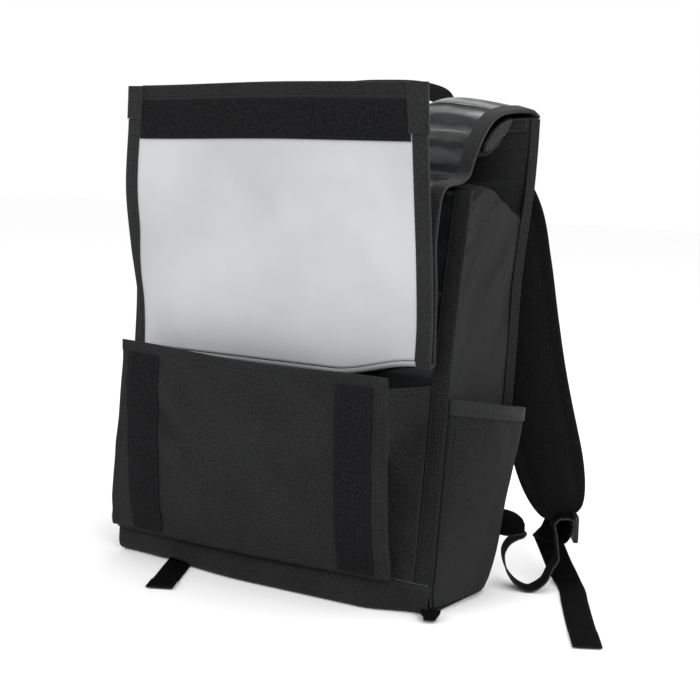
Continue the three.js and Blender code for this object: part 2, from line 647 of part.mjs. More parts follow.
// Lower webbing: from the back seam out, down to the floor in a loop and up to the buckle
const ANCHOR = { z: 63, lean: 0.2 };
const anchorY = backAt(ANCHOR.z) + BACK_WEB.thick + 3 * GAP + WEBBING_THICK / 2;
const LOWER_ROWS = [
  { x: 164, y: anchorY, z: ANCHOR.z, wx: 0, wy: ANCHOR.lean, wz: 1 },
  { x: 178, y: anchorY, z: ANCHOR.z, wx: 0, wy: ANCHOR.lean, wz: 1 },
  { x: 187, y: anchorY + 2.5, z: 62, wx: -0.15, wy: 0.3, wz: 0.9 },
  { x: 197, y: 84, z: 60, wx: -0.3, wy: 0.55, wz: 0.75 },
  { x: 206, y: 88, z: 57.5, wx: -0.45, wy: 0.75, wz: 0.45 },
  { x: 210.5, y: 90.5, z: 54, wx: -0.52, wy: 0.82, wz: 0.2 },
  { x: 209, y: 89.5, z: 50, wx: -0.54, wy: 0.84, wz: 0 },
  { x: 203, y: 86, z: 47, wx: -0.54, wy: 0.84, wz: 0 },
  { x: 195.5, y: 81.5, z: 43, wx: -0.54, wy: 0.84, wz: 0 },
  { x: 190, y: 78.5, z: 34, wx: -0.54, wy: 0.84, wz: 0 },
  { x: 194, y: 78.5, z: 17.5, wx: -0.54, wy: 0.84, wz: 0 },
  { x: 206, y: 79, z: 5.5, wx: -0.54, wy: 0.84, wz: 0 },
  { x: 218.5, y: 81.5, z: 2, wx: -0.54, wy: 0.84, wz: 0 },
  { x: 228.4, y: 88.2, z: 9, wx: -0.54, wy: 0.84, wz: 0 },
  { x: 232.2, y: 96.5, z: 21, wx: -0.54, wy: 0.84, wz: 0 },
  besideBuckle(18, -12, -27),
  besideBuckle(19.2, -8, -6.5),
  besideBuckle(20.4, -4.5, 3),
  besideBuckle(17, -2, 8.3),
  besideBuckle(10.5, -1, 10.4),
  besideBuckle(4.5, 0, 9.3),
  besideBuckle(BUCKLE.thick / 2 + GAP, 0, 9),
];
// Free ends: the right one is folded over once and runs forward on the floor, the left one runs
// under the bag to its front
const TAIL_START = [besideBuckle(BESIDE + 0.6, 0, 3), besideBuckle(BESIDE + 1.4, 0, -3)];
const TAIL_ROWS = {
  right: [
    ...TAIL_START,
    besideBuckle(6.5, 5, -7, [0.9, 0, 0.35]),
    besideBuckle(12, 15, -9, [0.35, 0, 0.9]),
    besideBuckle(19, 22, -9.5, [0, 0, 1]),
    besideBuckle(25.5, 24.5, -7.5, [0.25, -0.45, 0.8]),
    besideBuckle(28.5, 27, -7.5, [0.6, -0.6, 0.5]),
    besideBuckle(26, 29.5, -9.5, [0.4, -0.75, 0.5]),
    besideBuckle(22.5, 29, -16.5, [0.15, -0.9, 0.35]),
    besideBuckle(17, 26, -28.5, [0, -1, 0.1]),
    { x: 226, y: 132, z: 15, wx: 0.92, wy: 0.4, wz: 0 },
    { x: 239, y: 124, z: 3.5, wx: 0.9, wy: 0.44, wz: 0 },
    { x: 252, y: 106, z: 1, wx: 0.88, wy: 0.47, wz: 0 },
    { x: 272, y: 68, z: 1, wx: 0.877, wy: 0.48, wz: 0 },
    { x: 302, y: 12, z: 1, wx: 0.877, wy: 0.48, wz: 0 },
    { x: 337, y: -51, z: 1, wx: 0.877, wy: 0.48, wz: 0 },
  ],
  left: [
    ...mirrored([...TAIL_START, besideBuckle(5, 3, -14)]),
    { x: -224, y: 139, z: 30, wx: 0.75, wy: 0.66, wz: 0 },
    { x: -206, y: 123, z: 8, wx: 0.88, wy: 0.48, wz: 0 },
    { x: tailX(102), y: 102, z: 1, wx: 0.889, wy: 0.457, wz: 0 },
    { x: tailX(0), y: 0, z: 1, wx: 0.889, wy: 0.457, wz: 0 },
    { x: tailX(-70), y: -70, z: 1, wx: 0.889, wy: 0.457, wz: 0 },
    { x: tailX(-142), y: -142, z: 1, wx: 0.889, wy: 0.457, wz: 0 },
  ],
};
const LOWER_SETS = { right: LOWER_ROWS, left: mirrored(LOWER_ROWS) };
SIDES.forEach(({ name }) => {
  const band = { width: WEBBING, thickness: WEBBING_THICK };
  const lower = ribbon(LOWER_SETS[name], { ...band, count: { across: 1, along: 40 } });
  add(`lower_webbing_${name}`, "webbing", wall(lower));
  const along = name === "right" ? 38 : 20;
  const tail = ribbon(TAIL_ROWS[name], { ...band, count: { across: 1, along } });
  add(`strap_tail_${name}`, "webbing", wall(tail));
});

// Grab handle: a webbing arch sewn behind the top edge
const HANDLE_ROWS = [
  { x: 74, y: 125, z: 441, wx: 1, wy: 0, wz: 0 },
  { x: 79, y: 126, z: 454, wx: 1, wy: 0, wz: 0.3 },
  { x: 76, y: 131, z: 470, wx: 0.8, wy: 0.35, wz: 0.6 },
  { x: 48, y: 136, z: 480, wx: 0.3, wy: 0.5, wz: 0.85 },
  { x: 0, y: 138, z: 483, wx: 0, wy: 0.55, wz: 0.83 },
];
const handleRows = [...HANDLE_ROWS, ...HANDLE_ROWS.slice(0, -1).reverse().map((row) => ({
  ...row,
  x: -row.x,
  wx: -row.wx,
}))];
const handle = { width: 18, thickness: 2.4, count: { across: 1, along: 20 } };
add("grab_handle", "webbing", wall(ribbon(handleRows, handle)));

// Webbing loop under the front right corner
const TAB_ROWS = [
  { x: 183.2, y: -56.8, z: 5.5, wx: 0.866, wy: 0.5, wz: 0 },
  { x: 187.2, y: -64.6, z: 6.5, wx: 0.866, wy: 0.5, wz: 0 },
  { x: 191.2, y: -71.6, z: 4.3, wx: 0.866, wy: 0.5, wz: 0 },
  { x: 187.2, y: -65.6, z: 1.4, wx: 0.866, wy: 0.5, wz: 0 },
  { x: 183.2, y: -57.3, z: 1, wx: 0.866, wy: 0.5, wz: 0 },
];
const cornerTab = { width: 22, thickness: 1.4, count: { across: 1, along: 10 } };
add("corner_tab", "webbing", wall(ribbon(TAB_ROWS, cornerTab)));

export default backpack;
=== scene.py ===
from math import cos, exp, floor, pi, sin, sqrt

import bmesh
import bpy
from mathutils import Matrix, Vector, noise


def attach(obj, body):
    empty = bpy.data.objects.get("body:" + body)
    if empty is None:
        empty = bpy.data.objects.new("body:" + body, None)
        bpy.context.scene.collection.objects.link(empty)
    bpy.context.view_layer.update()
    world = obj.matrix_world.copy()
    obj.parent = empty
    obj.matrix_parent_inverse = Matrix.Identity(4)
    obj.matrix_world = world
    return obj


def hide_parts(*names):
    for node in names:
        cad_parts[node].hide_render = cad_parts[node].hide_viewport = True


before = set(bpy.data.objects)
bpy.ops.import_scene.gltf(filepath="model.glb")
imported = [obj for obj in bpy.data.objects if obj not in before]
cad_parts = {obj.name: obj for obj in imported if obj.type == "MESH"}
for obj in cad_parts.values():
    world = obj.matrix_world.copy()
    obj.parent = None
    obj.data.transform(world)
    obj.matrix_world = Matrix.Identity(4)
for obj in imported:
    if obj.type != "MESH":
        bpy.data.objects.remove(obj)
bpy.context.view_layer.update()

# Sizes are in millimetres here and become metres when a mesh is made.
mm = 0.001
sides = {"left": -1, "right": 1}
nudge = 1e-3  # the step over which a surface's slope is taken


def mix(a, b, t):
    return a + (b - a) * t


def clamp(x, low=0.0, high=1.0):
    return max(low, min(high, x))


def ease(x, low, high):
    t = clamp((x - low) / (high - low))
    return t * t * (3 - 2 * t)


def hump(x, low, high):
    return sin(pi * clamp((x - low) / (high - low))) ** 2


def bell(x, width):
    return exp(-(x / width) ** 2)


def wander(x, y, z, size):
    return noise.noise(Vector((x, y, z)) / size)


# A smooth function through a table's column, read by another column or by the row number
def through(rows, value, key=None):
    ts = [row[key] if key else i for i, row in enumerate(rows)]
    ys = [row[value] for row in rows]
    last = len(ts) - 1

    def read(t):
        t = clamp(t, ts[0], ts[-1])
        i = 0
        while i < last - 1 and t > ts[i + 1]:
            i += 1
        t0, t1 = ts[i], ts[i + 1]
        before, tBefore = (i - 1, ts[i - 1]) if i else (i + 1, 2 * t0 - t1)
        after, tAfter = (i + 2, ts[i + 2]) if i + 2 <= last else (i, 2 * t1 - t0)
        p = (t - t0) / (t1 - t0)
        wp, wn = (t1 - t0) / 2 / (t0 - tBefore), (t1 - t0) / 2 / (tAfter - t1)
        sp = -wp * p ** 3 + 2 * wp * p ** 2 - wp * p
        s0 = (1 + wp) * p ** 3 + (-1.5 - 2 * wp) * p ** 2 + (wp - 0.5) * p + 1
        s1 = (-1 - wn) * p ** 3 + (1.5 + wn) * p ** 2 + 0.5 * p
        sn = wn * p ** 3 - wn * p ** 2
        return sp * ys[before] + s0 * ys[i] + s1 * ys[i + 1] + sn * ys[after]

    return read


# A curve through points, evenly paced from point to point
def curveAt(points, t):
    count = len(points)
    at = clamp(t) * (count - 1)
    i = min(int(at), count - 2)
    p1, p2 = points[i], points[i + 1]
    p0 = points[i - 1] if i else 2 * p1 - p2
    p3 = points[i + 2] if i + 2 < count else 2 * p2 - p1
    d1 = max((p2 - p1).length ** 0.5, 1e-4)
    d0 = (p1 - p0).length ** 0.5
    d2 = (p3 - p2).length ** 0.5
    d0, d2 = d0 if d0 > 1e-4 else d1, d2 if d2 > 1e-4 else d1
    m1 = ((p1 - p0) / d0 - (p2 - p0) / (d0 + d1) + (p2 - p1) / d1) * d1
    m2 = ((p2 - p1) / d1 - (p3 - p1) / (d1 + d2) + (p3 - p2) / d2) * d1
    w = at - i
    return p1 + m1 * w + (3 * (p2 - p1) - 2 * m1 - m2) * w ** 2 + (2 * (p1 - p2) + m1 + m2) * w ** 3


# Shader sockets with ordinary maths
class Wire:
    def __init__(self, tree, socket):
        self.tree, self.socket = tree, socket

    def make(self, kind, settings=None, values=None, out=0):
        node = self.tree.nodes.new(kind)
        for key, value in (settings or {}).items():
            setattr(node, key, value)
        for key, value in (values or {}).items():
            if isinstance(value, Wire):
                self.tree.links.new(value.socket, node.inputs[key])
            else:
                node.inputs[key].default_value = value
        return Wire(self.tree, node.outputs[out])

    def maths(self, operation, *others):
        values = dict(enumerate((self, *others)))
        return self.make("ShaderNodeMath", {"operation": operation}, values)

    def __add__(self, other):
        return self.maths("ADD", other)

    def __sub__(self, other):
        return self.maths("SUBTRACT", other)

    def __mul__(self, other):
        return self.maths("MULTIPLY", other)

    def __truediv__(self, other):
        return self.maths("DIVIDE", other)

    def __radd__(self, other):
        return self.maths("ADD", other)

    def __rmul__(self, other):
        return self.maths("MULTIPLY", other)

    def __rsub__(self, other):
        return self.make("ShaderNodeMath", {"operation": "SUBTRACT"}, {0: other, 1: self})

    def __rtruediv__(self, other):
        return self.make("ShaderNodeMath", {"operation": "DIVIDE"}, {0: other, 1: self})

    def colours(self, first, second):
        values = {0: self, 6: first, 7: second}
        return self.make("ShaderNodeMix", {"data_type": "RGBA"}, values, out=2)

    def fit(self, low, high, toLow=0.0, toHigh=1.0):
        values = {1: low, 2: high, 3: toLow, 4: toHigh}
        return self.make("ShaderNodeMapRange", {"clamp": True}, {0: self, **values})


# A material with its shader, the piece's flat coordinates and its place in space
def startFinish(name):
    material = bpy.data.materials.new(name)
    material.use_nodes = True
    tree = material.node_tree
    shader = tree.nodes["Principled BSDF"]
    root = Wire(tree, shader.outputs[0])
    flat = root.make("ShaderNodeUVMap", {"uv_map": "cut"})
    place = root.make("ShaderNodeTexCoord", out=3)
    across = root.make("ShaderNodeSeparateXYZ", None, {0: flat}, 0)
    along = root.make("ShaderNodeSeparateXYZ", None, {0: flat}, 1)
    return material, shader, flat, place, across, along


def grain(wire, coords, scale, detail=3.0, roughness=0.6):
    values = {"Vector": coords, "Scale": scale, "Detail": detail, "Roughness": roughness}
    return wire.make("ShaderNodeTexNoise", None, values)


def tint(tone, factor):
    return tuple(clamp(part * factor) for part in tone) + (1.0,)


def endFinish(shader, colour, roughness, height, depth, **extras):
    tree = shader.id_data
    links = {"Base Color": colour, "Roughness": roughness}
    bump = height.make("ShaderNodeBump", None, {"Strength": 1.0, "Distance": depth, "Height": height})
    links["Normal"] = bump
    for key, value in extras.items():
        links[key.replace("_", " ")] = value
    for key, wire in links.items():
        if isinstance(wire, Wire):
            tree.links.new(wire.socket, shader.inputs[key])
        else:
            shader.inputs[key].default_value = wire


# Distance from the nearest cut edge of a piece
def edgeDistance(across, along, size):
    near = across.maths("MINIMUM", size[0] - across)
    return near.maths("MINIMUM", along).maths("MINIMUM", size[1] - along)


# Sewn lines: dashes of thread in a shallow groove, at distances across or along the piece
sewing = dict(pitch=0.0036, dash=0.34, core=0.0003, edge=0.0007, groove=0.0026)


def seams(across, along, rows):
    thread = groove = None
    for axis, where in rows:
        main, other = (across, along) if axis == "u" else (along, across)
        off = (main - where).maths("ABSOLUTE")
        dash = (other / sewing["pitch"]).maths("FRACT").maths("COMPARE", 0.5, sewing["dash"])
        line = off.fit(sewing["core"], sewing["edge"], 1.0, 0.0) * dash
        dent = off.fit(0.0, sewing["groove"], 1.0, 0.0)
        thread = line if thread is None else thread.maths("MAXIMUM", line)
        groove = dent if groove is None else groove.maths("MAXIMUM", dent)
    return thread, groove


# Woven cloth and webbing: weave, mottling, dust, edges painted paler for wear and as a painted edge
# highlight, a painted highlight along a tape's fold, painted shade deep in a fold, and sewn lines whose
# thread has a painted sheen and whose groove has painted shade
def clothFinish(name, look, size, rows):
    material, shader, flat, place, across, along = startFinish(name)
    tone, pitch = look["tone"], look["pitch"]
    turn = 2 * pi / pitch
    if look.get("ribs"):
        weave = (along * turn).maths("SINE") * 0.7 + (across * turn * 0.5).maths("SINE") * 0.5
    else:
        weave = (across * turn).maths("SINE") * (along * turn).maths("SINE")
    broad = grain(across, place, 14.0, 4.0)
    fibre = grain(across, flat, 430.0, 1.0, 0.5)
    dust = grain(across, place, 60.0, 5.0, 0.7).fit(0.56, 0.78)
    # Edges painted paler, partly for wear and partly as a painted highlight where the edges catch the light
    worn = edgeDistance(across, along, size).fit(0.0004, 0.0022, 1.0, 0.0) * look.get("worn", 0.5)
    shade = broad.fit(0.3, 0.7) * 0.35 + fibre.fit(0.34, 0.66) * 0.55 + weave.fit(-1, 1) * 0.1
    colour = shade.colours(tint(tone, 0.4), tint(tone, 1.6))
    colour = (dust * look.get("dust", 0.12)).colours(colour, tint(tone, 4.0))
    colour = worn.colours(colour, tint(tone, look.get("wear", 2.4)))
    height = weave * look.get("weave", 0.35) + fibre * 0.25 + broad * 0.6
    # A painted highlight along the tape's fold line, where the fold catches the light
    if look.get("fold"):
        foldHighlight = (across - look["fold"]).maths("ABSOLUTE").fit(0.0003, 0.0016, 1.0, 0.0)
        colour = (foldHighlight * 0.25).colours(colour, tint(tone, 4.2))
    # Painted shade high up deep inside the side panels' fold: the colour darkens towards the fold's inner
    # end above about 365 mm
    if look.get("deep"):
        clearOfShade = place.make("ShaderNodeSeparateXYZ", None, {0: place}, 0).maths("ABSOLUTE").fit(*look["deep"])
        high = place.make("ShaderNodeSeparateXYZ", None, {0: place}, 2).fit(0.365, 0.395)
        colour = (high * (1.0 - clearOfShade)).colours(colour, tint(tone, 0.1))
    if rows:
        thread, groove = seams(across, along, rows)
        # Painted shade in the seam's groove, and the thread dashes painted paler as a painted sheen
        colour = (groove * 0.35).colours(colour, tint(tone, 0.3))
        colour = (thread * 0.75).colours(colour, tint(tone, look.get("thread", 2.0)))
        height = height + thread * 1.2 - groove * 1.6
    roughness = broad.fit(0.3, 0.7, look["rough"] - 0.08, look["rough"] + 0.08)
    endFinish(shader, colour, roughness, height, 0.0003,
              Specular_IOR_Level=look.get("shine", 0.3),
              Sheen_Weight=look.get("sheen", 0.08), Sheen_Roughness=0.5)
    return material


# Rubber in strips lapped side by side: each has painted shade just below the lap above it and a painted
# highlight growing towards its own free edge, broken up in smears, with scuffs, a fine moulded grain, and
# painted shade over the lower cover
def rubberFinish(name, look, size, rows):
    material, shader, flat, place, across, along = startFinish(name)
    tone = look["tone"]
    strip = along / look["strip"] + look["start"]
    number = strip.maths("FLOOR")
    within = strip.maths("FRACT")
    each = across.make("ShaderNodeTexWhiteNoise", {"noise_dimensions": "1D"}, {"W": number})
    stretch = across.make("ShaderNodeMapping", None, {"Vector": flat, "Scale": (1.0, 3.2, 1.0)})
    smear = grain(across, stretch, 24.0, 5.0, 0.62)
    cloud = grain(across, place, 16.0, 4.0)
    scuff = grain(across, stretch, 120.0, 5.0, 0.75).fit(0.5, 0.75)
    speck = grain(across, flat, 900.0, 2.0)
    # Painted shade towards the lower part of the cover: the painted highlights and scuffs fade there, and
    # so does the coat's gloss
    fade = along.fit(0.05, 0.15, 1.0, 0.25)
    # Painted shade just below each lap, growing to a painted highlight towards the strip's free edge
    lit = within.fit(0.25, 0.95) * smear.fit(0.36, 0.64) * fade
    # A painted highlight along each strip's free edge
    rim = within.fit(0.93, 0.985) * smear.fit(0.42, 0.62) * fade
    colour = (cloud * 0.6 + each * 0.4).colours(tint(tone, 0.55), tint(tone, 1.3))
    colour = (lit * look["chalk"]).colours(colour, tint((1.0, 1.03, 1.06), 0.1))
    colour = (scuff * fade * 0.3 * look["chalk"]).colours(colour, tint((1.0, 1.03, 1.06), 0.14))
    colour = (rim * look["rim"]).colours(colour, tint((1.0, 1.0, 1.0), 0.42))
    height = within * 1.2 + smear * 0.6 + scuff * 0.3 + speck * 0.12
    roughness = (smear * 0.6 + each * 0.4).fit(0.2, 0.85, look["rough"] - 0.12, look["rough"] + 0.2)
    streak = (along * (2 * pi / look["streak"]) + smear * 5.0 + cloud * 2.5).maths("SINE").fit(-0.6, 1.0)
    endFinish(shader, colour, roughness, height, 0.0005, Specular_IOR_Level=look["shine"],
              Coat_Weight=streak * fade, Coat_Roughness=0.2, Coat_IOR=look["gloss"])
    return material


# Pale coated vinyl: a fine pebble grain, cloudy tone and faint handling marks
def vinylFinish(name, look, size, rows):
    material, shader, flat, place, across, along = startFinish(name)
    tone = look["tone"]
    cloud = grain(across, place, 7.0, 3.0, 0.5)
    marks = grain(across, place, 42.0, 6.0, 0.7).fit(0.55, 0.8)
    values = {"Vector": flat, "Scale": 900.0}
    pebble = across.make("ShaderNodeTexVoronoi", {"feature": "SMOOTH_F1"}, values)
    colour = cloud.fit(0.3, 0.62).colours(tint(tone, 0.84), tint(tone, 1.05))
    colour = (marks * 0.1).colours(colour, tint(tone, 0.55))
    height = pebble * 0.35 + cloud * 1.0 + marks * 0.1
    roughness = cloud.fit(0.3, 0.7, 0.38, 0.52)
    endFinish(shader, colour, roughness, height, 0.0002, Specular_IOR_Level=0.4)
    return material


# Hook and loop tape: a dense fuzz of short fibres with lint caught in it
def fuzzFinish(name, look, size, rows):
    material, shader, flat, place, across, along = startFinish(name)
    tone = look["tone"]
    fuzz = grain(across, flat, 380.0, 2.0, 0.6)
    tuft = across.make("ShaderNodeTexVoronoi", None, {"Vector": flat, "Scale": 620.0})
    broad = grain(across, place, 30.0, 4.0)
    lint = grain(across, flat, 330.0, 6.0, 0.8).fit(0.68, 0.78)
    selvedge = edgeDistance(across, along, size).fit(0.0022, 0.003, 1.0, 0.0)
    shade = fuzz.fit(0.36, 0.64) * 0.8 + broad * 0.2
    colour = shade.colours(tint(tone, 0.2), tint(tone, 2.0))
    colour = (lint * look["lint"]).colours(colour, tint(tone, 9.0))
    colour = (selvedge * 0.7).colours(colour, tint(tone, 1.3))
    height = (fuzz * 1.4 + tuft * 0.9) * (1.0 - selvedge * 0.8)
    if rows:
        thread, groove = seams(across, along, rows)
        # The thread dashes painted paler, as a painted sheen
        colour = (thread * 0.7).colours(colour, tint(tone, 2.2))
        height = height + thread * 0.8 - groove * 1.2
    endFinish(shader, colour, 0.92, height, 0.0009, Specular_IOR_Level=0.12)
    return material


def plasticFinish(name, look, size, rows):
    material, shader, flat, place, across, along = startFinish(name)
    tone = look["tone"]
    fine = grain(across, place, 1600.0, 2.0)
    scratch = grain(across, place, 240.0, 5.0, 0.75).fit(0.58, 0.72)
    colour = (scratch * 0.3).colours(tint(tone, 1.0), tint(tone, 3.0))
    roughness = fine.fit(0.3, 0.7, 0.34, 0.5)
    endFinish(shader, colour, roughness, fine * 0.4 + scratch * 0.3, 0.0001, Specular_IOR_Level=0.3)
    return material


looks = {
    "nylon": dict(make=clothFinish, slot="nylon", tone=(0.0118, 0.0121, 0.0126), pitch=0.0013, rough=0.76,
                  shine=0.07, sheen=0.04, weave=0.6, dust=0.14, worn=0.25),
    "binding": dict(make=clothFinish, slot="webbing", tone=(0.0125, 0.0128, 0.0133), pitch=0.0013,
                    rough=0.78, shine=0.1, ribs=True, worn=0.15, thread=1.5),
    "webbing": dict(make=clothFinish, slot="webbing", tone=(0.0028, 0.0029, 0.003), pitch=0.0017,
                    rough=0.82, shine=0.02, sheen=0.0, ribs=True, weave=0.7, worn=0.4, wear=6.0),
    "edge": dict(make=clothFinish, slot="webbing", tone=(0.022, 0.023, 0.024), pitch=0.0017, rough=0.8,
                 shine=0.1, ribs=True, worn=0.0),
    "strap": dict(make=clothFinish, slot="nylon", tone=(0.005, 0.0052, 0.0055), pitch=0.0012, rough=0.75,
                  shine=0.05, sheen=0.03, weave=0.45, dust=0.16),
    # For the rubber, the strength of the painted highlights along the strips and at their free edges is set
    # here, with the scuffs
    "rubber": dict(make=rubberFinish, slot="rubber", tone=(0.006, 0.0068, 0.0078), strip=0.046, start=0.76,
                   rough=0.4, chalk=0.3, rim=0.5, shine=0.1, streak=0.028, gloss=1.75),
    "vinyl": dict(make=vinylFinish, slot="vinyl", tone=(0.395, 0.412, 0.417)),
    "fastener": dict(make=fuzzFinish, slot="fastener", tone=(0.005, 0.005, 0.0058), lint=0.3),
    "plastic": dict(make=plasticFinish, slot="plastic", tone=(0.0045, 0.0047, 0.005)),
}


# Finishes a mesh as a piece of the object
def finishPiece(name, mesh, spec, size):
    obj = bpy.data.objects.new(name, mesh)
    bpy.context.collection.objects.link(obj)
    rows = []
    for axis, where in spec.get("stitch", ()):
        whole = size[0] if axis == "u" else size[1]
        rows.append((axis, where * mm if where >= 0 else whole + where * mm))
    for i, key in enumerate(spec["look"]):
        look = {**looks[key], **spec.get("tweak", {})}
        mesh.materials.append(look["make"](f"{name}{key.capitalize()}", look, size, rows if i == 0 else []))
    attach(obj, "root")
    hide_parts(*spec["nodes"])
    return obj


# A grid laid on place(u, v), with flatAt(u, v) as its flat coordinates in metres
def layGrid(grid, place, flatAt):
    bm = bmesh.new()
    bmesh.ops.create_grid(bm, x_segments=grid[0], y_segments=grid[1], size=0.5)
    flat = bm.loops.layers.uv.new("cut")
    for face in bm.faces:
        face.smooth = True
        for loop in face.loops:
            loop[flat].uv = flatAt(loop.vert.co.x + 0.5, loop.vert.co.y + 0.5)
    for vert in bm.verts:
        vert.co = place(clamp(vert.co.x + 0.5), clamp(vert.co.y + 0.5)) * mm
    return bm, flat


def meshOf(bm, name):
    mesh = bpy.data.meshes.new(name)
    bm.to_mesh(mesh)
    bm.free()
    return mesh


# A cloth piece: a surface with its own measured flat coordinates and a thickness.
# lay -1 puts the thickness behind the surface, 1 in front of it and 0 on both sides.
def clothPiece(name, spec, place):
    across, along = spec["grid"]
    reach = [[0.0], [0.0]]
    for axis, count in enumerate((across, along)):
        spots = [place(*((i / count, 0.5) if axis == 0 else (0.5, i / count))) for i in range(count + 1)]
        for a, b in zip(spots, spots[1:]):
            reach[axis].append(reach[axis][-1] + (b - a).length * mm)

    def flatAt(u, v):
        return reach[0][round(u * across)], reach[1][round(v * along)]

    bm, flat = layGrid(spec["grid"], place, flatAt)
    if spec.get("flip"):
        bmesh.ops.reverse_faces(bm, faces=bm.faces[:])
    obj = finishPiece(name, meshOf(bm, name), spec, (reach[0][-1], reach[1][-1]))
    skin = obj.modifiers.new("thickness", "SOLIDIFY")
    skin.thickness = spec["thick"] * mm
    skin.offset = spec.get("lay", 0)
    if len(spec["look"]) > 1:
        skin.material_offset = 1
        skin.material_offset_rim = spec.get("rim", 0)
    print("made", name)
    return obj


def normalAt(place, u, v):
    du = place(min(u + nudge, 1), v) - place(max(u - nudge, 0), v)
    dv = place(u, min(v + nudge, 1)) - place(u, max(v - nudge, 0))
    return du.cross(dv).normalized()


# The same surface moved along its normal
def raised(place, distance):
    def moved(u, v):
        return place(u, v) + normalAt(place, u, v) * distance
    return moved


# Sewn lines at one distance from two opposite edges
def bothEdges(axis, inset):
    return [(axis, inset), (axis, -inset)]


# Tape folded over an edge: edgeAt(v) gives the edge, the way inwards and the face's normal
def foldedTape(edgeAt, leg, half):
    bend = pi * half

    def place(u, v):
        edge, inward, normal = edgeAt(v)
        front = back = leg(v) if callable(leg) else leg
        s = u * (front + bend + back)
        if s < front:
            a, b = front - s, half
        elif s < front + bend:
            angle = (s - front) / half
            a, b = -half * sin(angle), half * cos(angle)
        else:
            a, b = s - front - bend, -half
        return edge + inward * a + normal * b
    return place


def edgeOf(place, u, start, end):
    def edgeAt(v):
        v = mix(start, end, v)
        edge = place(u, v)
        inward = (place(0.98 if u > 0.5 else 0.02, v) - edge).normalized()
        along = place(u, min(v + nudge, 1)) - place(u, max(v - nudge, 0))
        normal = along.cross(inward).normalized()
        return edge, inward, normal if u > 0.5 else -normal
    return edgeAt


# Webbing through a table of places, each with the way its width points
def ribbon(rows, width, floorClear=0.85):
    points = [Vector(row[:3]) for row in rows]
    wides = [Vector(row[3:]) for row in rows]
    widthAt = width if callable(width) else lambda v: width

    def place(u, v):
        tangent = (curveAt(points, v + nudge / 10) - curveAt(points, v - nudge / 10)).normalized()
        wide = curveAt(wides, v)
        wide = (wide - tangent * wide.dot(tangent)).normalized()
        spot = curveAt(points, v) + wide * ((u - 0.5) * widthAt(v))
        spot.z = max(spot.z, floorClear)
        return spot
    return place


def mirrored(rows):
    return [(-x, y, z, -wx, wy, wz) for x, y, z, wx, wy, wz in rows]


print("stage: body")
bodyHalf, frontTop, backTop, wallLow, stripTop, gap = 183, 383, 453, 6, 26, 0.3
bodyRows = [dict(z=z, front=front, back=back) for z, front, back in (
    (0, -49, 44), (15, -53, 58), (40, -50, 71), (100, -44, 78), (170, -37, 91),
    (230, -31, 96), (300, -21, 101), (345, -13, 110), (387, -6, 119), (460, 6, 124))]
frontAt = through(bodyRows, "front", "z")
backAt = through(bodyRows, "back", "z")


# The top edge stands higher beside the handle than in the middle and at the ends
riseRows = [dict(x=x, rise=rise) for x, rise in (
    (0, 0), (58, 0.5), (76, 3), (92, 11), (108, 13), (125, 12), (150, 8.5), (171, 5), (183, 2.5))]
riseAt = through(riseRows, "rise", "x")


def arch(x):
    return riseAt(abs(x))


# Bottom panel: flat on the floor, lifted over the left webbing tail, with its front edge
# turned up and bulging
tailLine = dict(x=-131.4, slope=-0.514, flat=14.5, clear=21, lift=2.2)
bottomBulge = dict(out=20, left=(-175, -10), right=(120, 176), fade=0.85, under=(15, 45), pucker=1.4)
bottomRows = [dict(y=y, z=z) for y, z in (
    (50, 0), (35, 0), (20, 0), (0, 0), (-15, 0), (-30, 0), (-44, 0.1),
    (-52, 1.8), (-56.2, 7), (-56.8, 16), (-56.3, 26))]
bottomY, bottomZ = through(bottomRows, "y"), through(bottomRows, "z")


def tailX(y):
    return tailLine["x"] + tailLine["slope"] * y


def bottomPlace(u, v):
    along = v * (len(bottomRows) - 1)
    x, y, z = mix(-bodyHalf, bodyHalf, u), bottomY(along), max(bottomZ(along), 0)
    lift = tailLine["lift"] * (1 - ease(abs(x - tailX(y)), tailLine["flat"], tailLine["clear"]))
    folds = ease(z, 4, 12) * (1 - 0.7 * ease(z, 18, stripTop))
    pucker = bottomBulge["pucker"] * wander(x, 0, z, 23) * folds
    share = ease(x, *bottomBulge["left"]) * (1 - bottomBulge["fade"] * ease(x, *bottomBulge["right"]))
    flare = bottomBulge["out"] * share * ease(-y, *bottomBulge["under"]) * (1 - ease(z, 0, stripTop))
    return Vector((x, y + pucker - flare, z + lift * (1 - z / stripTop)))


bottomSpec = dict(grid=(220, 60), thick=2, lay=-1, look=["nylon"], nodes=["bottom_panel"],
                  stitch=[("v", -3)])
clothPiece("bottomCloth", bottomSpec, bottomPlace)

panelHalf = bodyHalf - 2.3


def frontPanelPlace(u, v):
    z = mix(wallLow, frontTop, v)
    return Vector((mix(-panelHalf, panelHalf, u), frontAt(z), z))


frontSpec = dict(grid=(60, 60), thick=2, lay=-1, look=["rubber"], nodes=["front_panel"])
clothPiece("frontCloth", frontSpec, frontPanelPlace)


# Back panel: lightly padded cloth between its seams, flat where the straps are sewn on
quilting = dict(depth=3.2, ripple=0.8, low=30, high=420, inner=120, outer=158, strapSeam=424)


def backPanelPlace(u, v):
    x = mix(panelHalf, -panelHalf, u)
    z = mix(wallLow, backTop, v) + arch(x) * ease(v, 0.9, 1)
    soft = hump(z, quilting["low"], quilting["high"]) ** 0.5
    soft *= 1 - ease(abs(x), quilting["inner"], quilting["outer"])
    quilt = quilting["depth"] * soft * (0.75 + 0.25 * cos(x / 34))
    quilt += quilting["ripple"] * wander(x, 7, z, 60)
    return Vector((x, backAt(z) + 2 + quilt * ease(abs(z - quilting["strapSeam"]), 20, 60), z))


backSpec = dict(grid=(150, 180), thick=2, lay=-1, look=["nylon"], nodes=["back_panel"],
                stitch=bothEdges("u", 26) + bothEdges("v", 9))
clothPiece("backCloth", backSpec, backPanelPlace)

